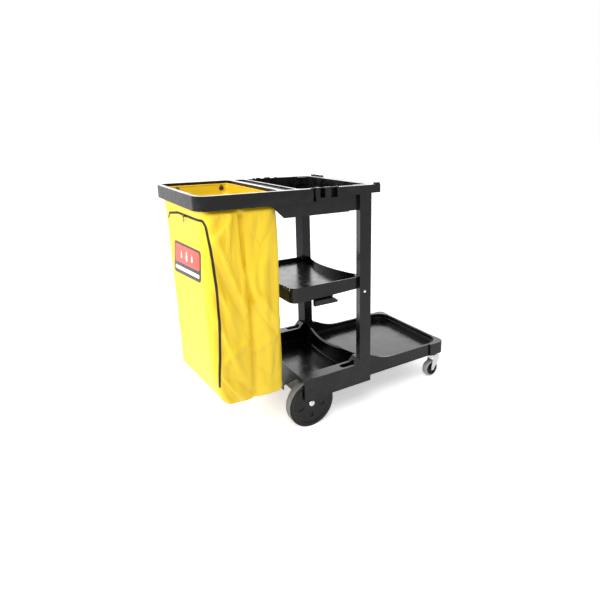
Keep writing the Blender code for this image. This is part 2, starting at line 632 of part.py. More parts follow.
def make_patch():
    prism("front_patch", rounded([(*corner, 0.020) for corner in PATCH]), PATCH_X, "X", "patch")


def make_rear_wheel(name, side):
    centre = (AXLE_X, side * WHEEL_Y, AXLE_Z)
    half = WHEEL_HALF
    ring(f"{name}_tyre", TREAD_INNER_R + GAP, WHEEL_R, -half, half, centre, "Y", "tread", 40, 0.003)
    hub = ring(f"{name}_hub", 0.0100 + GAP, TREAD_INNER_R, -half, half, centre, "Y", "hub", 40, 0.0008)
    for i in range(5):
        turn = Matrix.Rotation(math.radians(90 + 72 * i), 4, "Y")
        slot = box("hub_slot", (0.040, 0.062), span_on(side, half - 0.003, half + 0.01), (-0.006, 0.006))
        slot.matrix_world = Matrix.Translation(centre) @ turn
        cut(hub, slot)
    ring(f"{name}_bush", AXLE_R + 0.0002, 0.0100, -half + 0.0004, half - 0.0004, centre, "Y", "nylon", 16)
    outer = side * (WHEEL_Y + half)
    inner = side * (WHEEL_Y - half)
    ring(f"{name}_washer", AXLE_R + 0.0004, 0.0135, -0.0007, 0.0007, (AXLE_X, inner - side * 0.0011, AXLE_Z), "Y", "steel", 16)
    cap = [(0, 0.0058), (0.0085, 0.0054), (0.0115, 0.0040), (0.0125, 0.0020), (0.0125, 0.0004),
           (AXLE_R + 0.0004, 0.0004), (AXLE_R + 0.0004, 0.0042), (0, 0.0042)]
    piece = turned(f"{name}_axle_cap", cap, (AXLE_X, outer, AXLE_Z), "Y", 20, "steel")
    if side > 0:
        piece.matrix_world = piece.matrix_world @ Matrix.Rotation(math.pi, 4, "X")


def make_axle():
    half = WHEEL_Y + WHEEL_HALF + 0.0034
    rod("rear_axle", AXLE_R, -half, half, (AXLE_X, 0, AXLE_Z), "Y", "steel", 16)


def make_caster(name, side):
    x, y = SWIVEL_X, side * SWIVEL_Y
    place = (x, y, 0)
    top = DECK_Z
    socket = [(0.0055, top + 0.0175), (0.0088, top + 0.0175), (0.0088, top - GAP), (0.0125, top - GAP),
              (0.0125, top - 0.0022), (0.0055, top - 0.0022)]
    turned(f"{name}_socket", socket, place, "Z", 16, "nylon", closed=True)
    stem = [(0, top + 0.0165), (0.0045, top + 0.0155), (0.0052, top + 0.0140), (0.0052, top - 0.0025),
            (0.0150, top - 0.0025), (0.0150, top - 0.0045), (0.0040, top - 0.0045), (0.0040, top - 0.0195),
            (0.0070, top - 0.0195), (0.0062, top - 0.0220), (0, top - 0.0225)]
    turned(f"{name}_stem", stem, place, "Z", 16, "steel")
    ring(f"{name}_race", 0.0048, 0.0150, top - 0.0152, top - 0.0049, place, "Z", "steel", 16, 0.0020)
    make_fork(name, x, y)
    make_caster_wheel(name, x - TRAIL, y)


def make_fork(name, x, y):
    wheel_x = x - TRAIL
    top, low = FORK_TOP_Z, FORK_TOP_Z - 0.0025
    reach = FORK_HALF + FORK_SHEET
    plate = rectangle((x - 0.019, x + 0.019), (y - reach, y + reach), 0.004)
    fork = prism(f"{name}_fork", plate, (low, top), "Z", "steel")
    leg = rounded([(x - 0.0188, top - 0.0003), (wheel_x - 0.0082, CASTER_R + 0.002),
                   (wheel_x - 0.0075, CASTER_R - 0.008, 0.0065), (wheel_x + 0.0075, CASTER_R - 0.008, 0.0065),
                   (x + 0.0188, top - 0.022), (x + 0.0188, top - 0.0003)])
    for near in (y - reach, y + FORK_HALF):
        join(fork, prism("fork_leg", leg, (near, near + FORK_SHEET), "Y"))
    cut(fork, rod("fork_eye", 0.0046, 0.05, 0.2, (x, y, 0), "Z"))
    cut(fork, rod("fork_bore", 0.0034, -0.05, 0.05, (wheel_x, y, CASTER_R), "Y"))


def make_caster_wheel(name, x, y):
    centre = (x, y, CASTER_R)
    half = CASTER_HALF
    outer = FORK_HALF + FORK_SHEET
    tyre = [(0.0305, -half + 0.0012), (0.0305, half - 0.0012), (0.0360, half - 0.0008), (0.0390, half - 0.0045),
            (CASTER_R, 0), (0.0390, -half + 0.0045), (0.0360, -half + 0.0008)]
    turned(f"{name}_tyre", tyre, centre, "Y", 28, "tread", closed=True)
    hub = [(0.0036, -half), (0.0036, half), (0.0100, half), (0.0120, half - 0.0020), (0.0270, half - 0.0020),
           (0.0302, half), (0.0302, -half), (0.0270, -half + 0.0020), (0.0120, -half + 0.0020), (0.0100, -half)]
    turned(f"{name}_hub", hub, centre, "Y", 28, "hub", closed=True)
    bolt = [(0, outer + 0.0034), (0.0042, outer + 0.0030), (0.0056, outer + 0.0018), (0.0056, outer + GAP),
            (0.0031, outer + GAP), (0.0031, -outer - 0.0045), (0, -outer - 0.0045)]
    turned(f"{name}_axle_bolt", bolt, centre, "Y", 14, "steel")
    make_nut(f"{name}_nut", 0.0031, 0.0055, (x, CASTER_R), (y + outer + GAP, y + outer + 0.0040))


def make_nut(name, hole, radius, middle, span):
    """A hexagonal nut on an axis along Y through middle (x, z)."""
    nut = prism(name, circle(*middle, radius, 6), span, "Y", "steel")
    cut(nut, rod("nut_hole", hole + GAP, -0.6, 0.6, (middle[0], 0, middle[1]), "Y"))


def make_screws(name, side):
    """The through bolt that holds the shelf's tab to the upright, with its nut."""
    head_face = SIDE_Y - 0.0045 + GAP
    nut_face = POST_IN_Y - TAB_THICK - 2 * GAP
    profile = [(0, 0.0030), (0.0050, 0.0026), (SCREW_HEAD_R, 0.0010), (SCREW_HEAD_R, 0), (SCREW_R, 0),
               (SCREW_R, nut_face - 0.0050 - head_face), (0, nut_face - 0.0050 - head_face)]
    bolt = turned(f"{name}_shelf_bolt", profile, (SCREW_X, side * head_face, SCREW_Z), "Y", 16, "steel")
    if side > 0:
        bolt.matrix_world = bolt.matrix_world @ Matrix.Rotation(math.pi, 4, "X")
    make_nut(f"{name}_shelf_nut", SCREW_R, 0.0062, (SCREW_X, SCREW_Z),
             span_on(side, nut_face - 0.0045, nut_face))


clear_scene()
CART = make_collection("housekeeping_cart")
CUTTERS = make_collection("cutters")
MATERIALS = {name: make_material(name) for name in COLOURS}
make_base()
make_upright("right_upright", -1)
make_upright("left_upright", 1)
make_shelf()
make_top_frame()
make_bag()
make_bag_trim()
make_zip_tape()
make_zip_slider()
make_patch()
make_axle()
for side_name, side_sign in (("right", -1), ("left", 1)):
    make_rear_wheel(f"{side_name}_wheel", side_sign)
    make_caster(f"{side_name}_caster", side_sign)
    make_screws(side_name, side_sign)
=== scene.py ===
"""Looks for the housekeeping cart: materials on the CAD nodes, detailed wheels and hardware, the vinyl bag.
Metres, +Z up. Left is +Y, right is -Y, and the bag's zipped end face looks towards -X."""

import json
import math

import bmesh
import bpy
from mathutils import Matrix, Vector, noise
from mathutils.bvhtree import BVHTree

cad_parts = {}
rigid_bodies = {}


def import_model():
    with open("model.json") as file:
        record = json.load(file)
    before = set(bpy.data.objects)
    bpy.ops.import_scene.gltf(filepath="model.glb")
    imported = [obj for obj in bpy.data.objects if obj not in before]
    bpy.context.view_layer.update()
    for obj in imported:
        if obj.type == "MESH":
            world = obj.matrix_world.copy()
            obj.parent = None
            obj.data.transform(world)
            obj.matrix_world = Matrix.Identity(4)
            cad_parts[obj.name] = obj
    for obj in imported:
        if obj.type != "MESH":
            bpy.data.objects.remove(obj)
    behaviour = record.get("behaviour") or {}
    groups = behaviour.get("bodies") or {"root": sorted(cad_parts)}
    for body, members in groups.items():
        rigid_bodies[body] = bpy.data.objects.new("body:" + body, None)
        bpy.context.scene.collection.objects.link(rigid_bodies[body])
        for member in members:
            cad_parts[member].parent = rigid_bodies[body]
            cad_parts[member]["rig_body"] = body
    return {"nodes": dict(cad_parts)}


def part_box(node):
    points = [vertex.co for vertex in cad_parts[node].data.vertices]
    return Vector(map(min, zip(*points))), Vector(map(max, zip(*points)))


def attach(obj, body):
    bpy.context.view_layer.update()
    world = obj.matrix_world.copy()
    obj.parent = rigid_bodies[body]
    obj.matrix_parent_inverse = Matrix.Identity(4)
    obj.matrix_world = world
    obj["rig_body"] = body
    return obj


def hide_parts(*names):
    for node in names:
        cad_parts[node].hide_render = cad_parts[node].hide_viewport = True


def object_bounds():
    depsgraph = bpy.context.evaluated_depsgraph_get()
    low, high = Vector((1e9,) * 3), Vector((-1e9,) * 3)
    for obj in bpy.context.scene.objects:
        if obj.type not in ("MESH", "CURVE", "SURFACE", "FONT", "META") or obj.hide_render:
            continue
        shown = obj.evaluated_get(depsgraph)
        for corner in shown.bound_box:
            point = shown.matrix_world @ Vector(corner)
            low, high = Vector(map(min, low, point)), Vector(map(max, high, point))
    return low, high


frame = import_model()
CAD_BOX = [list(corner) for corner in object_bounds()]
SCENE = bpy.context.scene


def metres(value):
    """Millimetres to metres, in nested tuples too."""
    return tuple(metres(part) for part in value) if isinstance(value, tuple) else value / 1000


def adjust(thing, **settings):
    for key, value in settings.items():
        setattr(thing, key, value)
    return thing


# Camera: its place, and its (yaw, pitch, roll) in degrees
CAMERA_PLACE, CAMERA_TURN = (-1.04263, -1.83659, 1.16497), (-33.4544, -14.1916, -0.2890)
FOCAL_PIXELS, CENTRE_PIXEL, PICTURE = 486.8325, (345.0724, 258.3339), 600

# The studio's back wall is brighter than the rest of the room, so tops and floors of glossy trays mirror it.
# The light rises from the room's to the wall's between these cosines of the angle from the wall's middle.
BRIGHT_WALL, WALL_LIGHT, ROOM_LIGHT, WALL_EDGE = Vector((0.10, 1.0, 0.22)), 2.6, 0.60, (0.42, 0.90)
KEY_POWER, TOP_POWER = 72, 44

# The trough's pebbled floor: x from the top frame's low end, half-width in y, depths below the cart's top
TROUGH_X, TROUGH_HALF, TROUGH_DEPTH = (0.3298, 0.3762), 0.2502, (0.012, 0.025)

# The steps at the foot of the base's two tray walls: (z low, z top), and how far they stand out
DECK_STEP, REAR_STEP, STEP_REACH = (0.1475, 0.1665), (0.1355, 0.1600), 0.0055

# The bag's rings (z, x low, x high, y low, y high, corner radius), from the rim down. The lower ones are a
# little smaller than the CAD solid's.
BAG_RINGS = metres((
    (958, -563, -281, -253, 253, 20),
    (924, -563, -281, -253, 253, 20),
    (911, -564, -286, -268, 252, 45),
    (865, -564, -281, -268, 245, 50),
    (620, -564, -273, -268, 228, 50),
    (390, -563, -274.5, -268, 204, 46),
    (260, -562.5, -283.5, -267, 200.5, 36),
    (222, -561, -289.5, -266, 198, 26),
    (210, -557.5, -294, -263.5, 195, 24),
    (204.5, -551, -300, -258, 190, 22),
))
BAG_TOP, BAG_LOW = BAG_RINGS[0][0], BAG_RINGS[-1][0]
BAG_WALL = 0.0014

# The bag's mesh: steps along its sides and corners, rows in all and down to RIM_LOW, and the way round it
# in the UV map
STEPS_X, STEPS_Y, CORNER_STEPS = 30, 46, 7
BAG_ROWS, RIM_ROWS, RIM_LOW, BAG_ROUND = 78, 12, 0.900, 1.6

# Where the folds fade out: in z below the rim, in x towards the zip's corner, in z below the patch
RIM_CALM, ZIP_CALM, PATCH_CALM = (0.895, 0.925), (-0.552, -0.520), (0.56, 0.63)

# How the bag's near bottom corner is pulled in along X: how far, and the height over which that fades
SLIP, SLIP_HEIGHT = 0.034, 0.20

# The cloth simulation: its steps, the share by which the cloth is wider than the shell, and how far the
# walls and the bottom may move
CLOTH_STEPS, CLOTH_SPARE, WALL_DRIFT, BOTTOM_DRIFT = 18, 0.030, 0.010, 0.006

# Creases of the bag's right side: (x, z) points, depth (- is a valley), half-width
RIGHT_FOLDS = metres((
    (((-433, 920), (-431, 860), (-427, 788), (-416, 690), (-407, 597), (-404, 503),
      (-405, 382), (-409, 205)), -15, 16),
    (((-468, 900), (-502, 851), (-545, 806)), 6, 12),
    (((-500, 900), (-520, 870), (-548, 850)), -5, 10),
    (((-530, 830), (-501, 769), (-464, 668), (-418, 560)), 6, 12),
    (((-540, 760), (-505, 690), (-470, 600), (-430, 520)), -5.5, 13),
    (((-425, 900), (-392, 840), (-360, 797), (-325, 840), (-300, 900)), -6, 11),
    (((-418, 700), (-396, 641), (-352, 571), (-292, 487)), 6.5, 13),
    (((-400, 590), (-360, 520), (-300, 430)), -6, 13),
    (((-545, 350), (-495, 406), (-425, 440)), 6, 13),
    (((-540, 330), (-472, 290), (-415, 225)), -5.5, 12),
    (((-395, 405), (-342, 440), (-292, 440)), 5, 12),
    (((-385, 330), (-340, 290), (-292, 300)), -5, 14),
    (((-352, 720), (-350, 560), (-343, 380), (-345, 240)), 5, 22),
    (((-480, 600), (-487, 480), (-480, 340), (-476, 240)), 5, 24),
))
# Creases of the left side, the front and the end face, along (distance across, z)
LEFT_FOLDS = metres((
    (((-470, 915), (-455, 800), (-462, 620), (-440, 420), (-446, 230)), -12, 18),
    (((-350, 905), (-362, 760), (-345, 600), (-352, 400), (-340, 260)), -9, 18),
    (((-540, 800), (-500, 700), (-450, 640)), 5, 13),
    (((-440, 560), (-390, 480), (-320, 430)), 5, 14),
    (((-330, 860), (-380, 800), (-440, 770)), 4.5, 12),
    (((-535, 420), (-490, 350), (-430, 310)), -4.5, 14),
))
FRONT_FOLDS = metres((
    (((-120, 905), (-105, 760), (-120, 600), (-98, 400), (-105, 240)), -10, 20),
    (((50, 905), (30, 740), (42, 560), (20, 380), (25, 250)), -10, 22),
    (((170, 880), (150, 700), (130, 480), (128, 280)), -8, 20),
    (((-230, 700), (-160, 620), (-60, 590)), -4, 15),
    (((-40, 500), (60, 440), (150, 450)), -4, 15),
))
END_FOLDS = metres((
    (((215, 640), (90, 560), (-60, 500)), -2.2, 20),
    (((200, 420), (60, 350), (-120, 330)), 2.2, 24),
    (((-200, 560), (-120, 470), (-20, 420)), 1.8, 18),
    (((120, 300), (0, 270), (-160, 262)), -2, 16),
))

# Zip: its middle line as (distance round the bag from the end face's middle, z)
ZIP_ROUTE = metres((
    (-172, 848), (-150, 870, 15), (-30, 886), (184, 890), (247, 892, 10), (255.5, 874), (266, 801),
    (277, 665), (279.5, 530), (273, 400), (264, 279)))
TAPE_HALF, TAPE_LIFT, TAPE_THICK, TAPE_STEP, TOOTH_PITCH = 0.0047, 0.0006, 0.0009, 0.004, 0.0026

# (pitch, block size) of the stitches: the zip's, the patch's and the hem's
ZIP_STITCH = 0.0036, (0.0024, 0.0006, 0.00045)
PATCH_STITCH = 0.0040, (0.0027, 0.0007, 0.0005)
HEM_STITCH = 0.0055, (0.0034, 0.0007, 0.0005)

# Patch on the end face, as (y, z) corners: low left, low right, top right and top left, seen from -X.
# PATCH_WIDE is its width over its height, END_X is the end face's x.
PATCH = metres(((152, 632), (-196, 664), (-222, 783), (112, 768)))
PATCH_WIDE, END_X = (PATCH[0][0] - PATCH[1][0]) / 0.145, -0.5640
EYELET_HOLE, EYELET_SIDES = 0.0050, 24


# -------- camera, lights and floor

def make_camera():
    data = bpy.data.cameras.new("camera")
    camera = bpy.data.objects.new("camera", data)
    SCENE.collection.objects.link(camera)
    yaw, pitch, roll = (math.radians(turn) for turn in CAMERA_TURN)
    ahead = Vector((-math.sin(yaw) * math.cos(pitch), math.cos(yaw) * math.cos(pitch), math.sin(pitch)))
    right = ahead.cross(Vector((0, 0, 1))).normalized()
    up = right.cross(ahead)
    right, up = (right * math.cos(roll) + up * math.sin(roll), up * math.cos(roll) - right * math.sin(roll))
    place = Matrix((right, up, -ahead)).transposed().to_4x4()
    place.translation = CAMERA_PLACE
    camera.matrix_world = place
    data.sensor_width = 36
    data.lens = FOCAL_PIXELS / PICTURE * 36
    data.shift_x = (PICTURE / 2 - CENTRE_PIXEL[0]) / PICTURE
    data.shift_y = (CENTRE_PIXEL[1] - PICTURE / 2) / PICTURE
    data.clip_end = 200
    SCENE.camera = camera


def add_light(name, place, target, size, power):
    data = bpy.data.lights.new(name, "AREA")
    data.shape = "RECTANGLE"
    data.size, data.size_y = size
    data.energy = power
    light = bpy.data.objects.new(name, data)
    SCENE.collection.objects.link(light)
    light.location = place
    light.rotation_euler = (Vector(target) - Vector(place)).to_track_quat("-Z", "Y").to_euler()


def make_studio():
    world = bpy.data.worlds.new("studio")
    SCENE.world = world
    world.use_nodes = True
    tree = world.node_tree
    background = tree.nodes["Background"]
    background.inputs["Color"].default_value = (1, 1, 1, 1)
    facing = tree.nodes.new("ShaderNodeVectorMath")
    facing.operation = "DOT_PRODUCT"
    facing.inputs[1].default_value = BRIGHT_WALL.normalized()
    tree.links.new(tree.nodes.new("ShaderNodeTexCoord").outputs["Generated"], facing.inputs[0])
    glow = tree.nodes.new("ShaderNodeMapRange")
    glow.interpolation_type = "SMOOTHSTEP"
    for i, value in enumerate((*WALL_EDGE, ROOM_LIGHT, WALL_LIGHT), 1):
        glow.inputs[i].default_value = value
    tree.links.new(facing.outputs["Value"], glow.inputs[0])
    seen = tree.nodes.new("ShaderNodeMix")
    seen.inputs[3].default_value = 1.0
    tree.links.new(tree.nodes.new("ShaderNodeLightPath").outputs["Is Camera Ray"], seen.inputs[0])
    tree.links.new(glow.outputs[0], seen.inputs[2])
    tree.links.new(seen.outputs[0], background.inputs["Strength"])
    add_light("key", (-2.8, -0.2, 1.9), (-0.4, 0.0, 0.55), (1.4, 1.8), KEY_POWER)
    add_light("top", (-0.9, -1.7, 2.9), (-0.3, 0.0, 0.6), (1.5, 1.5), TOP_POWER)
    form = bmesh.new()
    bmesh.ops.create_grid(form, x_segments=2, y_segments=2, size=60)
    floor = add_mesh("floor", form, floor_material())
    floor.location = (0, 0, -0.0005)
    SCENE.view_settings.view_transform = "Standard"


# -------- node materials

class Graph:
    """A principled material and short calls for adding nodes to it."""

    def __init__(self, name, colour, roughness, metallic=0.0):
        self.material = bpy.data.materials.new(name)
        self.material.use_nodes = True
        self.tree = self.material.node_tree
        self.shader = self.tree.nodes["Principled BSDF"]
        self.set(Base_Color=(*colour, 1), Roughness=roughness, Metallic=metallic)
        self.place = self.add("TexCoord").outputs["Object"]

    def set(self, **inputs):
        """Feeds the shader's inputs; an underscore in a keyword stands for a space."""
        for key, value in inputs.items():
            self.feed(self.shader.inputs[key.replace("_", " ")], value)

    def fed(self, key):
        """The socket that now feeds an input of the shader."""
        return self.shader.inputs[key].links[0].from_socket

    def feed(self, socket, value):
        if isinstance(value, bpy.types.NodeSocket):
            self.tree.links.new(value, socket)
        else:
            socket.default_value = value

    def add(self, kind, settings=None, **inputs):
        """A new node; _0, _1 and so on are inputs by number."""
        made = adjust(self.tree.nodes.new("ShaderNode" + kind), **(settings or {}))
        for key, value in inputs.items():
            self.feed(made.inputs[int(key[1:])] if key[1:].isdigit() else made.inputs[key], value)
        return made

    def noise(self, scale, detail=4.0, rough=0.5, vector=None):
        vector = vector or self.place
        return self.add("TexNoise", Vector=vector, Scale=scale, Detail=detail, Roughness=rough).outputs["Fac"]

    def stretch(self, x, y, z):
        return self.add("Mapping", _0=self.place, _3=(x, y, z)).outputs[0]

    def math(self, operation, a, b=0.0):
        return self.add("Math", {"operation": operation}, _0=a, _1=b).outputs[0]

    def span(self, value, low, high, to_low, to_high):
        return self.add("MapRange", _0=value, _1=low, _2=high, _3=to_low, _4=to_high).outputs[0]

    def mix(self, share, a, b):
        made = self.add("Mix", {"data_type": "RGBA"}, _0=share)
        for i, colour in ((6, a), (7, b)):
            self.feed(made.inputs[i], (*colour, 1) if isinstance(colour, tuple) else colour)
        return made.outputs[2]

    def bump(self, height, distance, strength, before=None):
        made = self.add("Bump", Height=height, Distance=distance, Strength=strength)
        if before is not None:
            self.feed(made.inputs["Normal"], before)
        return made.outputs[0]


def moulding_material(name, colour=(0.0022, 0.0022, 0.0024), worn=(0.014, 0.0145, 0.015), rough=(0.15, 0.3)):
    """Glossy moulded plastic: a fine grain, slowly bending reflections, hair scratches and worn edges."""
    g = Graph(name, colour, rough[0])
    cloud = g.noise(7.0, 5.0, 0.6)
    smudge = g.noise(23.0, 6.0, 0.65)
    scratch = g.noise(60.0, 3.0, 0.7, g.stretch(1.0, 0.12, 1.6))
    hair = g.span(scratch, 0.62, 0.70, 0.0, 1.0)
    edge = g.span(g.add("NewGeometry").outputs["Pointiness"], 0.515, 0.60, 0.0, 1.0)
    wear = g.math("MULTIPLY", edge, g.span(smudge, 0.42, 0.62, 0.15, 0.85))
    shade = g.mix(g.span(cloud, 0.35, 0.70, 0.0, 1.0), colour, tuple(c * 1.5 for c in colour))
    shade = g.mix(g.math("MULTIPLY", hair, 0.18), shade, worn)
    g.set(Base_Color=g.mix(g.math("MULTIPLY", wear, 0.6), shade, worn), Specular_IOR_Level=0.32)
    polish = g.span(smudge, 0.35, 0.72, rough[0], rough[1])
    polish = g.math("ADD", polish, g.math("MULTIPLY", hair, 0.05))
    g.set(Roughness=g.math("ADD", polish, g.math("MULTIPLY", wear, 0.10)))
    wavy = g.bump(g.noise(14.0, 2.0, 0.4), 0.004, 0.10)
    grain = g.bump(g.noise(900.0, 2.0, 0.5), 0.0002, 0.35, wavy)
    g.set(Normal=g.bump(hair, 0.0002, 0.25, grain))
    return g


def top_material():
    """The moulding, with a coarse pebbled texture on the floor of the trough."""
    g = moulding_material("moulding_top")
    x, y, z = g.add("SeparateXYZ", _0=g.place).outputs
    start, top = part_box("top_frame")[0].x, CAD_BOX[1][2]
    inside = g.math("LESS_THAN", g.math("ABSOLUTE", y), TROUGH_HALF)
    for value, least, most in ((x, start + TROUGH_X[0], start + TROUGH_X[1]),
                               (z, top - TROUGH_DEPTH[1], top - TROUGH_DEPTH[0])):
        inside = g.math("MULTIPLY", inside, g.math("GREATER_THAN", value, least))
        inside = g.math("MULTIPLY", inside, g.math("LESS_THAN", value, most))
    pebble = g.add("TexVoronoi", Vector=g.place, Scale=330.0).outputs["Distance"]
    g.set(Base_Color=g.mix(inside, g.fed("Base Color"), (0.075, 0.075, 0.074)))
    g.set(Normal=g.bump(g.math("MULTIPLY", pebble, inside), 0.0012, 0.9, g.fed("Normal")))
    g.set(Roughness=g.math("ADD", g.fed("Roughness"), g.math("MULTIPLY", inside, 0.30)))
    return g.material


def tread_material(name, dark, light):
    """Grey non-marking rubber: mottled, scuffed round the wheel, and finely pitted."""
    g = Graph(name, light, 0.6)
    cloud = g.noise(40.0, 6.0, 0.65)
    speck = g.noise(420.0, 3.0, 0.6)
    colour = g.mix(g.span(cloud, 0.35, 0.65, 0.0, 1.0), dark, light)
    colour = g.mix(g.span(speck, 0.60, 0.72, 0.0, 0.5), colour, tuple(c * 0.8 for c in dark))
    g.set(Base_Color=colour, Roughness=g.span(cloud, 0.3, 0.7, 0.50, 0.72))
    g.set(Normal=g.bump(speck, 0.0004, 0.35, g.bump(cloud, 0.0008, 0.25)))
    return g.material


def steel_material(name, colour, rough):
    """Bright zinc plate: brushed along X, with a spangle of slightly different tones."""
    g = Graph(name, colour, rough[0], 1.0)
    brushed = g.noise(500.0, 2.0, 0.6, g.stretch(0.08, 1.0, 1.0))
    spangle = g.add("TexVoronoi", Vector=g.place, Scale=220.0).outputs["Color"]
    tone = g.add("SeparateColor", _0=spangle).outputs[0]
    dull = tuple(c * 0.72 for c in colour)
    g.set(Base_Color=g.mix(g.span(tone, 0.0, 1.0, 0.0, 0.5), colour, dull))
    g.set(Roughness=g.span(g.noise(60.0, 4.0, 0.6), 0.3, 0.7, *rough))
    g.set(Normal=g.bump(brushed, 0.0001, 0.25))
    return g.material


def nylon_material():
    g = Graph("nylon", (0.55, 0.55, 0.52), 0.42)
    cloud = g.noise(90.0, 4.0)
    g.set(Base_Color=g.mix(g.span(cloud, 0.3, 0.7, 0.0, 1.0), (0.48, 0.48, 0.45), (0.62, 0.62, 0.59)))
    g.set(Roughness=g.span(cloud, 0.3, 0.7, 0.36, 0.50), Normal=g.bump(g.noise(700.0, 2.0), 0.0002, 0.3))
    return g.material


def vinyl_material(name="vinyl", colour=(0.72, 0.487, 0.0055), pale=(0.77, 0.545, 0.010), weave=1100.0):
    """Coated fabric: the weave of the scrim prints through a satin film, with scuffs, and painted shade that
    darkens the hollows of the folds towards orange.
    """
    g = Graph(name, colour, 0.40)
    across, up, _ = g.add("SeparateXYZ", _0=g.add("UVMap").outputs[0]).outputs
    warp, weft = (g.math("SINE", g.math("MULTIPLY", way, weave * 2)) for way in (across, up))
    threads = g.math("MULTIPLY", warp, weft)
    cloud = g.noise(5.0, 5.0, 0.6)
    smudge = g.noise(38.0, 6.0, 0.7)
    colour_now = g.mix(g.span(cloud, 0.35, 0.68, 0.0, 1.0), colour, pale)
    colour_now = g.mix(g.span(smudge, 0.60, 0.78, 0.0, 0.22), colour_now, tuple(c * 0.72 for c in colour))
    # Painted shade: concave places (low pointiness) in the folds are tinted a darker orange, standing in for
    # shading.
    crease_shade = g.span(g.add("NewGeometry").outputs["Pointiness"], 0.40, 0.50, 0.75, 0.0)
    g.set(Base_Color=g.mix(crease_shade, colour_now, (colour[0] * 0.78, colour[1] * 0.60, 0.004)))
    g.set(Roughness=g.span(smudge, 0.3, 0.75, 0.34, 0.52))
    pores = g.bump(g.noise(260.0, 4.0, 0.6), 0.0006, 0.22)
    g.set(Normal=g.bump(threads, 0.00025, 0.30, pores))
    return g.material


def cloth_material(name, colour, light, pitch=0.0011):
    """Woven tape or thread: crossed ribs in object space and a soft sheen."""
    g = Graph(name, colour, 0.75)
    ribs = g.add("TexWave", {"bands_direction": "DIAGONAL"}, Vector=g.place, Scale=1 / pitch / 6,
                 Distortion=0.6, Detail=1.0).outputs["Fac"]
    fuzz = g.noise(1500.0, 3.0, 0.7)
    g.set(Base_Color=g.mix(g.math("MULTIPLY", ribs, fuzz), colour, light))
    g.set(Roughness=g.span(fuzz, 0.3, 0.7, 0.66, 0.86))
    g.set(Normal=g.bump(ribs, 0.0003, 0.6, g.bump(fuzz, 0.0003, 0.4)))
    return g.material


def print_material(name, colour, dark):
    """Printed film: a satin coat with fine mottling and a little scuffing."""
    g = Graph(name, colour, 0.38)
    mottle = g.noise(300.0, 4.0, 0.6)
    scuff = g.noise(24.0, 6.0, 0.75, g.stretch(1.0, 1.0, 0.35))
    mixed = g.mix(g.span(mottle, 0.35, 0.70, 0.0, 0.35), colour, dark)
    g.set(Base_Color=g.mix(g.span(scuff, 0.62, 0.80, 0.0, 0.35), mixed, dark))
    g.set(Roughness=g.span(scuff, 0.3, 0.8, 0.30, 0.52), Normal=g.bump(mottle, 0.0002, 0.3))
    return g.material


def floor_material():
    """White ground: the camera sees it bright and slightly uneven, other rays find it plain and dimmer."""
    g = Graph("studio_floor", (0.93, 0.93, 0.93), 0.9)
    seen = g.add("LightPath").outputs["Is Camera Ray"]
    pale = g.mix(g.noise(0.8, 3.0), (0.92, 0.92, 0.92), (0.95, 0.95, 0.95))
    g.set(Base_Color=g.mix(seen, (0.86, 0.86, 0.86), pale), Specular_IOR_Level=0.0)
    g.set(Emission_Color=(1, 1, 1, 1), Emission_Strength=g.span(seen, 0.0, 1.0, 0.10, 0.45))
    return g.material


# -------- mesh helpers

def add_mesh(name, form, material, sharp=34):
    mesh = bpy.data.meshes.new(name)
    form.to_mesh(mesh)
    form.free()
    piece = bpy.data.objects.new(name, mesh)
    SCENE.collection.objects.link(piece)
    mesh.materials.append(material)
    shade(piece, sharp)
    return piece


def shade(piece, sharp):
    """Smooth shading, apart from edges sharper than this many degrees."""
    piece.data.shade_smooth()
    piece.data.set_sharp_from_angle(angle=math.radians(sharp))


def stand_in(piece, slot, *nodes):
    """The piece replaces these CAD nodes and rides on their body."""
    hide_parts(*nodes)
    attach(piece, frame["nodes"][nodes[0]]["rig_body"])
    return piece


def on_cart(piece):
    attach(piece, "cart")
    return piece


def rounded(corners, steps=5):
    """Outline points for corners (u, v) or (u, v, radius); a radius becomes an arc of a few chords."""
    points = []
    for i, (u, v, *more) in enumerate(corners):
        if not more:
            points.append((u, v))
            continue
        radius = more[0]
        before, after = corners[i - 1], corners[(i + 1) % len(corners)]
        to_before = Vector((before[0] - u, before[1] - v, 0)).normalized()
        to_after = Vector((after[0] - u, after[1] - v, 0)).normalized()
        half = to_before.angle(to_after) / 2
        middle = (to_before + to_after).normalized() * (radius / math.sin(half))
        start = to_before * (radius / math.tan(half)) - middle
        end = to_after * (radius / math.tan(half)) - middle
        for step in range(steps + 1):
            arm = start.slerp(end, step / steps).normalized() * radius
            points.append((u + middle.x + arm.x, v + middle.y + arm.y))
    return points


def headings(path):
    """Each (u, v) point of a path with the path's unit direction there."""
    found = []
    for i, point in enumerate(path):
        a, b = path[max(i - 1, 0)], path[min(i + 1, len(path) - 1)]
        size = math.dist(a, b)
        found.append((point, ((b[0] - a[0]) / size, (b[1] - a[1]) / size)))
    return found


def mirrored(half):
    """A profile of (u, v) or (u, v, radius) points, followed by its mirror image with v turned over."""
    return half + [(u, -v, *more) for u, v, *more in half[::-1]]


def circle(radius, steps):
    turns = (2 * math.pi * i / steps for i in range(steps))
    return [(radius * math.cos(turn), radius * math.sin(turn)) for turn in turns]


def middle_of(node):
    low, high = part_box(node)
    return (low + high) / 2


def wheel_size(node):
    """The (centre, radius, half-width) of a node that turns about Y."""
    low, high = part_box(node)
    return middle_of(node), (high.z - low.z) / 2, (high.y - low.y) / 2


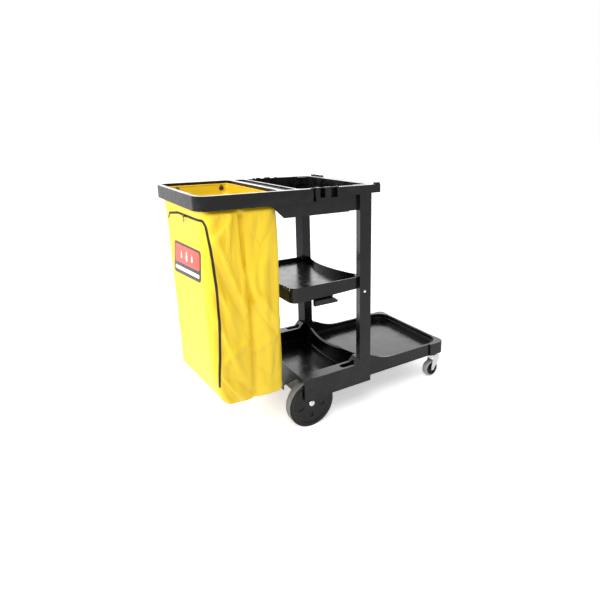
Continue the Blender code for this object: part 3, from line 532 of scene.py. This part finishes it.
def lathe(name, profile, centre, direction, material, segments=96, closed=True):
    """Turns (radius, height along direction) points about the axis; if closed, the last meets the first."""
    up = Vector(direction).normalized()
    across = up.orthogonal().normalized()
    other = up.cross(across)
    form = bmesh.new()
    rings = []
    for radius, height in profile:
        middle = Vector(centre) + up * height
        if radius < 1e-6:
            rings.append([form.verts.new(middle)])
            continue
        ring = []
        for i in range(segments):
            turn = 2 * math.pi * i / segments
            ring.append(form.verts.new(middle + (across * math.cos(turn) + other * math.sin(turn)) * radius))
        rings.append(ring)
    pairs = list(zip(rings, rings[1:])) + ([(rings[-1], rings[0])] if closed else [])
    for lower, upper in pairs:
        for i in range(segments):
            j = (i + 1) % segments
            low, high = ([ring[k % len(ring)] for k in (i, j)] for ring in (lower, upper))
            corners = list(dict.fromkeys(low + high[::-1]))
            if len(corners) > 2:
                form.faces.new(corners)
    bmesh.ops.recalc_face_normals(form, faces=form.faces)
    return add_mesh(name, form, material)


def loft(form, rows, closed=False):
    """Faces between rows of verts, each row a loop. The end rows are capped or, where closed, joined."""
    for row, after in zip(rows, rows[1:] + rows[:1] if closed else rows[1:]):
        for i in range(len(row)):
            j = (i + 1) % len(row)
            form.faces.new((row[i], row[j], after[j], after[i]))
    if not closed:
        form.faces.new(rows[0][::-1])
        form.faces.new(rows[-1])


def lofted(rows, closed=False):
    """A closed form through rows of places."""
    form = bmesh.new()
    loft(form, [[form.verts.new(place) for place in row] for row in rows], closed)
    bmesh.ops.recalc_face_normals(form, faces=form.faces)
    return form


def prism(outline, span, point):
    """A closed form between two heights; point(u, v, height) gives each place."""
    return lofted([[point(u, v, h) for u, v in outline] for h in span])


def carve(piece, cutters):
    """Cuts the cutters out of the piece and deletes them."""
    for cutter in cutters:
        adjust(piece.modifiers.new("Cut", "BOOLEAN"), operation="DIFFERENCE", solver="EXACT", object=cutter)
    apply_modifiers(piece)
    for cutter in cutters:
        bpy.data.objects.remove(cutter)


def apply_modifiers(piece):
    graph = bpy.context.evaluated_depsgraph_get()
    graph.update()
    mesh = bpy.data.meshes.new_from_object(piece.evaluated_get(graph))
    piece.modifiers.clear()
    piece.data = mesh


def studs(name, places, size, material):
    """Small tapered blocks: places are (point, along, across, outwards), size is (length, width, height)."""
    form = bmesh.new()
    length, width, height = size
    for point, along, across, out in places:
        rows = []
        for share, level in ((1.0, 0.0), (0.86, height * 0.7), (0.65, height)):
            row = []
            for a, b in ((-1, -1), (1, -1), (1, 1), (-1, 1)):
                shift = along * (a * length / 2 * share) + across * (b * width / 2 * share)
                row.append(form.verts.new(point + shift + out * level))
            rows.append(row)
        loft(form, rows)
    return add_mesh(name, form, material, sharp=60)


def spaced(a, b, pitch):
    """Evenly spaced points from a to b, half a pitch in from both."""
    count = max(1, round((b - a).length / pitch))
    return [a.lerp(b, (i + 0.5) / count) for i in range(count)]


# -------- CAD nodes that stay

def soften(name, material, width):
    """Rounds the edges of a CAD node with modifiers, and gives it its material."""
    node = frame["nodes"][name]
    node.data.materials.clear()
    node.data.materials.append(material)
    node.data.shade_smooth()
    adjust(node.modifiers.new("Weld", "WELD"), merge_threshold=0.00002)
    adjust(node.modifiers.new("Flatten", "DECIMATE"), decimate_type="DISSOLVE", angle_limit=math.radians(1.2))
    adjust(node.modifiers.new("Bevel", "BEVEL"), width=width, segments=3, limit_method="ANGLE",
           angle_limit=math.radians(30), miter_outer="MITER_ARC", use_clamp_overlap=True)
    adjust(node.modifiers.new("Normals", "WEIGHTED_NORMAL"), keep_sharp=False, weight=80)


def dress_frame():
    soften("top_frame", top_material(), 0.0016)
    for name in ("base_platform", "middle_shelf"):
        soften(name, MOULDING, 0.0016)
    for side in ("left", "right"):
        soften(f"{side}_upright", MOULDING, 0.0020)
        soften(f"{side}_caster_fork", STEEL, 0.0006)
        soften(f"{side}_caster_nut", STEEL, 0.0004)
        soften(f"{side}_shelf_nut", STEEL, 0.0004)
    soften("zip_slider", ZIP_METAL, 0.0004)
    soften("zip_pull", ZIP_METAL, 0.0002)


def wall_ledge(name, path, low, top):
    """A step along the foot of a tray's wall. path is the wall's (x, y) line, with the tray on its left."""
    sunk, reach = -0.0006, STEP_REACH
    section = ((sunk, low), (reach, low), (reach, top - 0.0012), (reach - 0.0004, top - 0.0004),
               (reach - 0.0012, top), (sunk, top))
    rows = [[(x - dy * a, y + dx * a, z) for a, z in section] for (x, y), (dx, dy) in headings(path)]
    on_cart(add_mesh(name, lofted(rows), MOULDING, sharp=60))


def make_ledges():
    """The thin inner steps round the base's two trays."""
    back, front, side, bend = 0.140, CAD_BOX[1][0] - 0.012, 0.2345, 0.070
    deck = rounded([(back, -side), (front, -side, bend), (front, side, bend), (back, side)], 8)
    wall_ledge("deck_ledge", deck, *DECK_STEP)
    rear, half, steps = -0.2025, 0.222, 14
    arc = []
    for i in range(steps + 1):
        turn = 2 * i / steps - 1
        arc.append((0.078 - 0.034 * (1 - turn * turn), 0.2195 * turn))
    tray = rounded(arc + [(0.060, half), (rear, half, 0.018), (rear, -half, 0.018), (0.060, -half)])
    wall_ledge("rear_tray_ledge", tray[:-1], *REAR_STEP)


# -------- wheels and hardware

def cut_hub(hub, centre, outline, span, count, start, spin):
    """Cuts a number of prisms out of a hub, evenly round its axle, and shades it."""
    cutters = []
    for i in range(count):
        turn = Matrix.Rotation(math.radians(start + 360 / count * i) * spin, 4, "Y")
        form = prism(outline, span, lambda u, v, h: centre + turn @ Vector((u, h, v)))
        cutters.append(add_mesh("recess", form, HUB))
    carve(hub, cutters)
    shade(hub, 40)


def make_rear_wheel(side, sign):
    name = f"{side}_wheel"
    centre, outer_r, half = wheel_size(f"{name}_tyre")
    inner_r, out = outer_r - 0.0061, (0, sign, 0)
    tyre = rounded(mirrored([(inner_r, -half + 0.0006), (outer_r - 0.0012, -half, 0.0004),
                             (outer_r, -half + 0.0016, 0.0014)]))
    piece = lathe(f"{name}_tread", tyre, centre, out, TREAD, 160)
    piece.data.materials.append(HUB)
    for face in piece.data.polygons:
        face.material_index = 1 if abs(face.normal.y) > 0.72 else 0
    stand_in(piece, "tread", f"{name}_tyre")

    face, web, rim = half - 0.0040, -half + 0.0120, outer_r * 0.80
    disc = rounded([
        (0.0102, -half + 0.0006), (0.0185, -half + 0.0006, 0.0012), (0.0205, web, 0.003),
        (rim - 0.004, web, 0.003), (rim, -half + 0.0006, 0.002), (inner_r - 0.0002, -half + 0.0008),
        (inner_r - 0.0002, half - 0.0006, 0.0008), (rim + 0.006, half - 0.0010, 0.0015), (rim, face, 0.0018),
        (0.0240, face, 0.0025), (0.0200, half - 0.0008, 0.0015), (0.0102, half - 0.0008)])
    hub = lathe(f"{name}_disc", disc, centre, out, HUB, 160)
    recess = rounded(mirrored([(0.038, -0.006, 0.004), (0.063, -0.0075, 0.004)]))
    cut_hub(hub, centre, recess, sorted((sign * (face - 0.0035), sign * (face + 0.006))), 5, 90, -sign)
    stand_in(hub, "hub", f"{name}_hub")

    bush_half = wheel_size(f"{name}_bush")[2]
    bush = rounded(mirrored([(0.00636, -bush_half), (0.0099, -bush_half, 0.0005)]))
    stand_in(lathe(f"{name}_bearing", bush, centre, out, NYLON, 48), "nylon", f"{name}_bush")

    node = f"{name}_washer"
    washer = rounded(mirrored([(0.0067, -0.0007), (0.0135, -0.0007, 0.0004)]), 3)
    stand_in(lathe(f"{name}_flat_ring", washer, middle_of(node), out, STEEL, 64), "steel", node)

    node = f"{name}_axle_cap"
    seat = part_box(node)[0 if sign > 0 else 1].y
    cap = metres(((0, 5.4), (3, 5.4), (5.2, 5.2), (7, 4.7), (7.8, 4), (8.4, 3.6), (9.8, 3.4), (11, 2.7),
                  (12, 1.4), (12.5, 0.2), (12.1, 0), (6.9, 0), (6.7, 3.8), (0, 3.8)))
    piece = lathe(f"{name}_push_cap", cap, (centre.x, seat, centre.z), out, BRIGHT, 72, False)
    stand_in(piece, "steel", node)


def make_axle():
    centre, radius, half = wheel_size("rear_axle")
    rod = mirrored([(0, -half), (radius - 0.0012, -half), (radius, -half + 0.0012), (radius, -half + 0.006)])
    stand_in(lathe("rear_axle_bar", rod, centre, (0, 1, 0), STEEL, 48, False), "steel", "rear_axle")


def make_caster(side):
    name = f"{side}_caster"
    centre, radius, half = wheel_size(f"{name}_tyre")
    half += 0.0006
    tyre = [(0.0305, -half + 0.0012), (0.0345, -half + 0.0005)]
    for i in range(13):
        turn = math.pi * (i / 12 - 0.5)
        tyre.append((radius - 0.0040 + 0.0040 * math.cos(turn), (half - 0.0010) * math.sin(turn)))
    tyre += [(0.0345, half - 0.0005), (0.0305, half - 0.0012)]
    stand_in(lathe(f"{name}_tread", tyre, centre, (0, 1, 0), CASTER_TREAD, 112), "tread", f"{name}_tyre")

    hub_half = wheel_size(f"{name}_hub")[2]
    web = hub_half - 0.0050
    disc = rounded(mirrored([
        (0.0037, -hub_half), (0.0098, -hub_half, 0.0008), (0.0112, -web, 0.0015), (0.0262, -web, 0.0015),
        (0.0276, -hub_half + 0.0003, 0.0006), (0.0302, -hub_half)]))
    hub = lathe(f"{name}_disc", disc, centre, (0, 1, 0), HUB, 112)
    window = rounded(mirrored([(0.0145, -0.0034, 0.002), (0.0232, -0.0056, 0.002)]), 4)
    cut_hub(hub, centre, window, (-0.02, 0.02), 6, 0, 1)
    stand_in(hub, "hub", f"{name}_hub")

    low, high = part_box(f"{name}_axle_bolt")
    reach, end = centre.y - low.y, centre.y - high.y
    bolt = [(0, reach), (0.0030, reach - 0.0001), (0.0045, reach - 0.0007), (0.0055, reach - 0.0019),
            (0.0056, reach - 0.0031), (0.0031, reach - 0.0031), (0.0031, end + 0.0006), (0.0026, end),
            (0, end)]
    stand_in(lathe(f"{name}_pin", bolt, centre, (0, -1, 0), BRIGHT, 48, False), "steel", f"{name}_axle_bolt")

    low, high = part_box(f"{name}_race")
    (x, y, _), up = middle_of(f"{name}_race"), (0, 0, 1)
    race = rounded([(0.0049, low.z), (0.0130, low.z), (0.0150, low.z + 0.0022, 0.0015),
                    (0.0150, high.z - 0.0022, 0.0015), (0.0128, high.z), (0.0049, high.z)])
    stand_in(lathe(f"{name}_raceway", race, (x, y, 0), up, STEEL, 64), "steel", f"{name}_race")
    place = (x, y, high.z + 0.0049)
    stem = metres(((0, 16.5), (3, 16.3), (4.5, 15.5), (5.2, 14), (5.2, -2.5), (14.6, -2.5), (15, -2.9),
                   (15, -4.1), (14.6, -4.5), (4, -4.5), (4, -19.5), (6.8, -19.5), (7, -20), (6.2, -22),
                   (3, -22.5), (0, -22.5)))
    stand_in(lathe(f"{name}_kingpin", stem, place, up, STEEL, 48, False), "steel", f"{name}_stem")
    socket = metres(((5.5, 17.5), (8.4, 17.5), (8.8, 17.1), (8.8, -0.3), (12.1, -0.3), (12.5, -0.7),
                     (12.5, -1.8), (12.1, -2.2), (5.5, -2.2)))
    stand_in(lathe(f"{name}_sleeve", socket, place, up, NYLON, 64), "nylon", f"{name}_socket")


def make_shelf_bolt(side, sign):
    low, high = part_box(f"{side}_shelf_bolt")
    outer, length = high.y if sign > 0 else low.y, high.y - low.y
    head = [(0, -0.0016), (0.0020, -0.0016), (0.0022, -0.0001), (0.0046, -0.0003), (0.0066, -0.0012),
            (0.0076, -0.0021), (0.0078, -0.0030), (0.0030, -0.0030), (0.0030, -length + 0.0006),
            (0.0024, -length), (0, -length)]
    centre = ((low.x + high.x) / 2, outer, (low.z + high.z) / 2)
    screw = lathe(f"{side}_shelf_screw", head, centre, (0, sign, 0), BRIGHT, 48, False)
    stand_in(screw, "steel", f"{side}_shelf_bolt")


# -------- bag

def ring_at(z):
    """The bag's (x low, x high, y low, y high, radius) at height z."""
    for upper, lower in zip(BAG_RINGS, BAG_RINGS[1:]):
        if z >= lower[0]:
            share = (upper[0] - z) / (upper[0] - lower[0])
            return [a + (b - a) * share for a, b in zip(upper[1:], lower[1:])]
    return list(BAG_RINGS[-1][1:])


def ring_points(z):
    """Points round the bag at height z with their outward directions, from the end face's left edge."""
    x0, x1, y0, y1, radius = ring_at(z)
    a0, a1, b0, b1 = x0 + radius, x1 - radius, y0 + radius, y1 - radius
    sides = (((x0, b1), (x0, b0), (-1, 0), STEPS_Y, (a0, b0)),
             ((a0, y0), (a1, y0), (0, -1), STEPS_X, (a1, b0)),
             ((x1, b0), (x1, b1), (1, 0), STEPS_Y, (a1, b1)),
             ((a1, y1), (a0, y1), (0, 1), STEPS_X, (a0, b1)))
    points = []
    for start, end, out, steps, centre in sides:
        for i in range(steps):
            share = i / steps
            place = (start[0] + (end[0] - start[0]) * share, start[1] + (end[1] - start[1]) * share, z)
            points.append((Vector(place), Vector((*out, 0))))
        first = math.atan2(out[1], out[0])
        for i in range(CORNER_STEPS):
            turn = first + math.pi / 2 * i / CORNER_STEPS
            u, v = math.cos(turn), math.sin(turn)
            points.append((Vector((centre[0] + u * radius, centre[1] + v * radius, z)), Vector((u, v, 0))))
    return points


def crease(u, v, folds):
    """How far the folds move a point of a face, u across it at height v."""
    total = 0.0
    for line, depth, width in folds:
        nearest = 1.0
        for (a, b), (c, d) in zip(line, line[1:]):
            du, dv = c - a, d - b
            share = ((u - a) * du + (v - b) * dv) / (du * du + dv * dv)
            share = min(max(share, 0.0), 1.0)
            nearest = min(nearest, math.hypot(u - a - du * share, v - b - dv * share))
        sharp = math.exp(-nearest / width * 1.25) if depth < 0 else math.exp(-((nearest / width) ** 2))
        total += depth * sharp
    return total


def smooth(value, low, high):
    share = min(max((value - low) / (high - low), 0.0), 1.0)
    return share * share * (3 - 2 * share)


def fold_depth(place, out):
    """The displacement of the bag's cloth at a place of the smooth shell, outwards."""
    x, y, z = place
    fade = 1 - smooth(z, *RIM_CALM)
    low = smooth(z, BAG_LOW - 0.004, BAG_LOW + 0.030)
    right, left = max(-out.y, 0.0) ** 3, max(out.y, 0.0) ** 3
    front, end = max(out.x, 0.0) ** 3, max(-out.x, 0.0) ** 3
    ripple = noise.noise(Vector((x * 17, y * 17, z * 8 + 3))) * 0.0040
    ripple += noise.noise(Vector((x * 41, y * 41, z * 19))) * 0.0014
    total = right * smooth(x, *ZIP_CALM) * (crease(x, z, RIGHT_FOLDS) * 1.7 + ripple * 1.3)
    total += left * (crease(x, z, LEFT_FOLDS) + ripple)
    total += front * (crease(y, z, FRONT_FOLDS) + min(ripple, 0.001) - 0.002)
    total += end * (crease(y, z, END_FOLDS) + ripple * 0.22) * (1 - smooth(z, *PATCH_CALM))
    return total * fade * (0.35 + 0.65 * low)


def corner_slip(place):
    """How far the bag's near bottom corner is pulled in along X."""
    across = min(max((0.20 - place.y) / 0.46, 0.0), 1.0)
    low = max(1 - (place.z - BAG_LOW) / SLIP_HEIGHT, 0.0) ** 2.5
    return SLIP * across * low * (1 - smooth(place.x, -0.56, -0.40))


def bag_rows():
    """Heights of the bag's rows, closer together where it turns in under the rim."""
    heights = [BAG_TOP - (BAG_TOP - RIM_LOW) * i / RIM_ROWS for i in range(RIM_ROWS)]
    rest = BAG_ROWS - RIM_ROWS
    return heights + [RIM_LOW - (RIM_LOW - BAG_LOW) * i / rest for i in range(rest + 1)]


def make_bag():
    """The bag, and its outer surface as a tree for the zip to be laid on."""
    form = bmesh.new()
    uv = form.loops.layers.uv.new("cloth")
    rows, outs = [], []
    for z in bag_rows():
        ring, row, around = ring_points(z), [], 0.0
        before = ring[0][0]
        for place, out in ring:
            around += (place - before).length
            before = place
            vert = form.verts.new(place + out * fold_depth(place, out) + Vector((corner_slip(place), 0, 0)))
            row.append((vert, around))
            outs.append(out)
        rows.append(row)
    count = len(rows[0])
    for upper, lower in zip(rows, rows[1:]):
        for i in range(count):
            j = (i + 1) % count
            face = form.faces.new((upper[i][0], lower[i][0], lower[j][0], upper[j][0]))
            far = BAG_ROUND if j == 0 else upper[j][1]
            for loop, u in zip(face.loops, (upper[i][1], lower[i][1], far, far)):
                loop[uv].uv = (u, loop.vert.co.z)
    x0, x1, y0, y1, _ = ring_at(BAG_LOW)
    middle = Vector(((x0 + x1) / 2, (y0 + y1) / 2, BAG_LOW))
    inner = [vert for vert, _ in rows[-1]]
    for share in (0.93, 0.80, 0.60, 0.38, 0.18):
        now = []
        for vert, _ in rows[-1]:
            place = middle + (vert.co - middle) * share
            sag = noise.noise(Vector((place.x * 14, place.y * 14, 5))) * 0.004
            now.append(form.verts.new((place.x, place.y, BAG_LOW + 0.003 + sag * (1 - share))))
        for i in range(count):
            j = (i + 1) % count
            face = form.faces.new((inner[i], now[i], now[j], inner[j]))
            for loop in face.loops:
                loop[uv].uv = loop.vert.co.xy
        inner = now
    form.faces.new(inner[::-1])
    bmesh.ops.recalc_face_normals(form, faces=form.faces)
    bag = add_mesh("vinyl_bag", form, VINYL, sharp=180)
    settle(bag, outs)
    adjust(bag.modifiers.new("Finer", "SUBSURF"), levels=1, render_levels=1)
    apply_modifiers(bag)
    skin = BVHTree.FromObject(bag, bpy.context.evaluated_depsgraph_get())
    adjust(bag.modifiers.new("Wall", "SOLIDIFY"), thickness=BAG_WALL, offset=-1)
    apply_modifiers(bag)
    cut_eyelet_holes(bag)
    stand_in(bag, "vinyl", "bag")
    return skin


def settle(bag, outs):
    """Lets the cloth hang with a little spare width, so that it buckles between its pinned rim and end face.
    outs are the outward directions of the walls' points; the points after them are the bottom's."""
    group = bag.vertex_groups.new(name="held")
    start = [vert.co.copy() for vert in bag.data.vertices]
    caps = []
    for i, place in enumerate(start):
        if i < len(outs):
            end = max(-outs[i].x, 0.0) ** 2
            held = max(smooth(place.z, 0.892, 0.915), end * 0.96, 1 - smooth(place.x, -0.560, -0.520))
            caps.append(WALL_DRIFT)
        else:
            held = 0.7
            caps.append(BOTTOM_DRIFT)
        group.add([i], min(held, 1.0), "REPLACE")
    cloth = bag.modifiers.new("Cloth", "CLOTH")
    adjust(cloth.settings, quality=6, mass=0.35, tension_stiffness=30, compression_stiffness=12,
           shear_stiffness=8, bending_stiffness=1.2, air_damping=4, vertex_group_mass="held",
           pin_stiffness=1.0, shrink_min=-CLOTH_SPARE, shrink_max=-CLOTH_SPARE)
    for step in range(1, CLOTH_STEPS + 1):
        SCENE.frame_set(step)
    graph = bpy.context.evaluated_depsgraph_get()
    hung = [vert.co.copy() for vert in bag.evaluated_get(graph).data.vertices]
    bag.modifiers.clear()
    bag.vertex_groups.clear()
    SCENE.frame_set(1)
    for vert, before, after, cap in zip(bag.data.vertices, start, hung, caps):
        move = after - before
        if move.length > cap:
            move *= cap / move.length
        vert.co = before + move


def cut_eyelet_holes(bag):
    cutters = []
    for i in range(1, 5):
        centre = middle_of(f"bag_eyelet_{i}")
        hole = circle(EYELET_HOLE, EYELET_SIDES)
        form = prism(hole, (-0.012, 0.012), lambda u, v, h: centre + Vector((u, h, v)))
        cutters.append(add_mesh("hole", form, VINYL))
    carve(bag, cutters)
    shade(bag, 70)


def on_bag(s, z):
    """(place, outwards) on the smooth shell at height z and distance s round from the end face's middle."""
    x, _, y, _, radius = ring_at(z)
    bend = s + y + radius
    if bend <= 0:
        return Vector((x, -s, z)), Vector((-1, 0, 0))
    turn = min(bend / radius, math.pi / 2)
    past = bend - turn * radius
    out = Vector((-math.cos(turn), -math.sin(turn), 0))
    return Vector((x + radius + past, y + radius, z)) + out * radius, out


def drape(skin, place, out, lift):
    """The place where a line along out meets the bag's skin, lifted off it."""
    hit = skin.ray_cast(place + out * 0.04, -out, 0.09)[0]
    return (hit or place) + out * lift


def zip_line(step):
    """Evenly spaced (s, z) points and directions along the zip."""
    corners = rounded(list(ZIP_ROUTE), 6)
    fine = [corners[0]]
    for (a, b), (c, d) in zip(corners, corners[1:]):
        count = max(1, math.ceil(math.dist((a, b), (c, d)) / 0.001))
        fine += [(a + (c - a) * i / count, b + (d - b) * i / count) for i in range(1, count + 1)]
    points, past = [fine[0]], 0.0
    for a, b in zip(fine, fine[1:]):
        past += math.dist(a, b)
        if past >= step:
            points.append(b)
            past = 0.0
    return headings(points)


def zip_frames(skin, step, offset, lift):
    """(point, along, across, outwards) on the bag at a side offset from the zip's middle."""
    places = []
    for (s, z), (ds, dz) in zip_line(step):
        place, out = on_bag(s - dz * offset, z + ds * offset)
        ahead, _ = on_bag(s - dz * offset + ds * 0.002, z + ds * offset + dz * 0.002)
        along = (ahead - place).normalized()
        places.append((drape(skin, place, out, lift), along, out.cross(along).normalized(), out))
    return places


def make_zip(skin):
    top, web = TAPE_LIFT + TAPE_THICK, TAPE_THICK * 0.6
    half = [(-1, 0.0), (-1, TAPE_THICK * 0.7), (-0.93, TAPE_THICK), (-0.45, TAPE_THICK), (-0.38, web)]
    section = half + [(-share, lift) for share, lift in half[::-1]]
    columns = [zip_frames(skin, TAPE_STEP, share * TAPE_HALF, lift) for share, lift in section]
    rows = [[column[i][0] for column in columns] for i in range(len(columns[0]))]
    stand_in(add_mesh("zip_woven_tape", lofted(rows), TAPE, sharp=50), "zip_tape", "zip_tape")
    teeth = []
    for first, offset in enumerate((-0.0008, 0.0008)):
        teeth += zip_frames(skin, TOOTH_PITCH / 2, offset, TAPE_LIFT - 0.0004)[first::2]
    on_cart(studs("zip_teeth", teeth, (0.0013, 0.0024, 0.0012), TEETH))
    stitches = []
    for share in (-0.72, 0.72):
        stitches += zip_frames(skin, ZIP_STITCH[0], share * TAPE_HALF, top - 0.0008)
    on_cart(studs("zip_stitching", stitches, ZIP_STITCH[1], THREAD))
    stops = [zip_frames(skin, TAPE_STEP, 0.0, top - 0.0008)[i] for i in (1, -2)]
    on_cart(studs("zip_end_stops", stops, (0.0060, 0.0075, 0.0014), THREAD))


def patch_point(u, v):
    """The (y, z) of a point of the patch: u from its left to its right, v from its foot to its top."""
    a, b, c, d = (Vector((*corner, 0)) for corner in PATCH)
    low, high = a.lerp(b, u), d.lerp(c, u)
    return low.lerp(high, v)


def plate(u0, v0, u1, v1, radius):
    """The outline of a rectangle with round corners, in shares of the patch."""
    corners = [(u * PATCH_WIDE, v, radius) for u, v in ((u0, v0), (u1, v0), (u1, v1), (u0, v1))]
    return [(u / PATCH_WIDE, v) for u, v in rounded(corners, 7)]


def panel(name, outline, span, material):
    """A flat shape on the patch: outline in shares of the patch, span as heights off the bag's end face."""
    def place(u, v, height):
        point = patch_point(u, v)
        return Vector((END_X - height, point.x, point.y))
    piece = add_mesh(name, prism(outline, span, place), material)
    adjust(piece.modifiers.new("Bevel", "BEVEL"), width=0.0002, segments=2, limit_method="ANGLE")
    apply_modifiers(piece)
    shade(piece, 40)
    return piece


def make_patch():
    backing = panel("patch_backing", plate(0, 0, 1, 1, 0.13), (-0.0002, 0.0008), PATCH_DARK)
    stand_in(backing, "patch", "front_patch")
    field = plate(0.035, 0.36, 0.965, 0.93, 0.10)
    on_cart(panel("patch_field", field, (0.0007, 0.0011), PATCH_RED))
    bar = plate(0.05, 0.12, 0.95, 0.24, 0.03)
    on_cart(panel("patch_stripe", bar, (0.0007, 0.0010), PATCH_PALE))
    for i, (u, size) in enumerate(((0.30, 0.13), (0.50, 0.18), (0.70, 0.13))):
        drop = []
        for step in range(28):
            turn = 2 * math.pi * step / 28
            pinch = math.sin(turn / 2) ** 1.5
            drop.append((u + size / PATCH_WIDE * 0.62 * math.sin(turn) * pinch, 0.65 + size * math.cos(turn)))
        on_cart(panel(f"patch_drop_{i + 1}", drop[::-1], (0.0010, 0.0013), PATCH_PALE))
    edge, out = [], Vector((-1, 0, 0))
    rim = [patch_point(u, v) for u, v in plate(0.015, 0.03, 0.985, 0.97, 0.11)]
    for a, b in zip(rim, rim[1:] + rim[:1]):
        along = Vector((0, b.x - a.x, b.y - a.y)).normalized()
        for point in spaced(a, b, PATCH_STITCH[0]):
            edge.append((Vector((END_X - 0.0008, point.x, point.y)), along, out.cross(along), out))
    on_cart(studs("patch_stitching", edge, PATCH_STITCH[1], THREAD))


def make_bag_trim():
    low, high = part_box("bag_rim_binding")
    outer, inner, foot, height = 0.0006, -0.0032, 0.0003, high.z - low.z
    section = rounded([(outer, foot, 0.0006), (outer, height, 0.0018), (inner, height, 0.0018),
                       (inner, foot, 0.0006)], 4)
    rows = [[place + out * a + Vector((0, 0, b)) for a, b in section] for place, out in ring_points(BAG_TOP)]
    binding = add_mesh("bag_hem_binding", lofted(rows, True), BINDING, sharp=50)
    stand_in(binding, "vinyl", "bag_rim_binding")
    hem = []
    for z in (0.9525, 0.9285):
        ring = ring_points(z)
        for (a, out), (b, _) in zip(ring, ring[1:] + ring[:1]):
            along = (b - a).normalized()
            for point in spaced(a, b, HEM_STITCH[0]):
                hem.append((point - out * BAG_WALL, along, Vector((0, 0, 1)), -out))
    on_cart(studs("hem_stitching", hem, HEM_STITCH[1], YELLOW_THREAD))
    for i in range(1, 5):
        make_eyelet(i)


def make_eyelet(i):
    """A metal ring in the bag's wall, on a dark drop-shaped tab."""
    centre = middle_of(f"bag_eyelet_{i}")
    out = Vector((0, -1 if centre.y > 0 else 1, 0))
    back = centre - out * 0.0006
    inner = 0.0047
    ring = rounded([(inner, 0.0), (0.0087, 0.0), (0.0084, 0.0009, 0.0004), (0.0062, 0.0014, 0.0006),
                    (inner, 0.0009, 0.0004)], 4)
    metal = lathe(f"bag_eyelet_ring_{i}", ring, back + out * 0.0001, out, EYELET, 56)
    stand_in(metal, "eyelet", f"bag_eyelet_{i}")
    drop = []
    for step in range(40):
        turn = 2 * math.pi * step / 40
        tail = max(math.cos(turn), 0.0) ** 6
        drop.append((0.0108 * math.sin(turn) * (1 - 0.5 * tail), 0.0108 * math.cos(turn) + 0.0062 * tail))

    def place(u, v, height):
        return back + Vector((u, 0, v)) + out * height
    tab = add_mesh(f"bag_eyelet_tab_{i}", prism(drop, (-0.0002, 0.0006), place), TAB)
    hole = prism(circle(EYELET_HOLE - 0.0001, EYELET_SIDES), (-0.01, 0.01), place)
    carve(tab, [add_mesh("hole", hole, TAB)])
    on_cart(tab)


# -------- the object

STEEL = steel_material("zinc_plate", (0.66, 0.67, 0.69), (0.16, 0.34))
BRIGHT = steel_material("bright_plate", (0.80, 0.81, 0.82), (0.12, 0.24))
ZIP_METAL = steel_material("zip_metal", (0.16, 0.14, 0.12), (0.22, 0.38))
EYELET = steel_material("eyelet_metal", (0.23, 0.13, 0.07), (0.25, 0.42))
HUB = moulding_material("hub_plastic", (0.0024, 0.0024, 0.0026), (0.014, 0.014, 0.0145),
                        (0.22, 0.36)).material
TREAD = tread_material("tread", (0.13, 0.13, 0.134), (0.20, 0.20, 0.205))
CASTER_TREAD = tread_material("caster_tread", (0.33, 0.33, 0.335), (0.42, 0.42, 0.425))
MOULDING = moulding_material("moulding").material
NYLON = nylon_material()
VINYL = vinyl_material()
BINDING = vinyl_material("binding", (0.72, 0.42, 0.008), (0.78, 0.48, 0.012), 1600.0)
TAPE = cloth_material("zip_cloth", (0.010, 0.009, 0.008), (0.045, 0.040, 0.036))
TEETH = print_material("zip_coil", (0.022, 0.019, 0.016), (0.006, 0.006, 0.006))
THREAD = cloth_material("black_thread", (0.012, 0.011, 0.010), (0.060, 0.055, 0.050), 0.0006)
YELLOW_THREAD = cloth_material("yellow_thread", (0.62, 0.40, 0.02), (0.85, 0.62, 0.08), 0.0006)
PATCH_DARK = print_material("patch_dark", (0.018, 0.016, 0.016), (0.050, 0.048, 0.046))
PATCH_RED = print_material("patch_red", (0.62, 0.075, 0.045), (0.50, 0.055, 0.035))
PATCH_PALE = print_material("patch_pale", (0.80, 0.78, 0.74), (0.62, 0.60, 0.56))
TAB = print_material("eyelet_tab", (0.11, 0.035, 0.014), (0.05, 0.016, 0.008))

make_camera()
make_studio()
dress_frame()
make_ledges()
for side, sign in (("left", 1), ("right", -1)):
    make_rear_wheel(side, sign)
    make_caster(side)
    make_shelf_bolt(side, sign)
make_axle()
bag_skin = make_bag()
make_zip(bag_skin)
make_patch()
make_bag_trim()
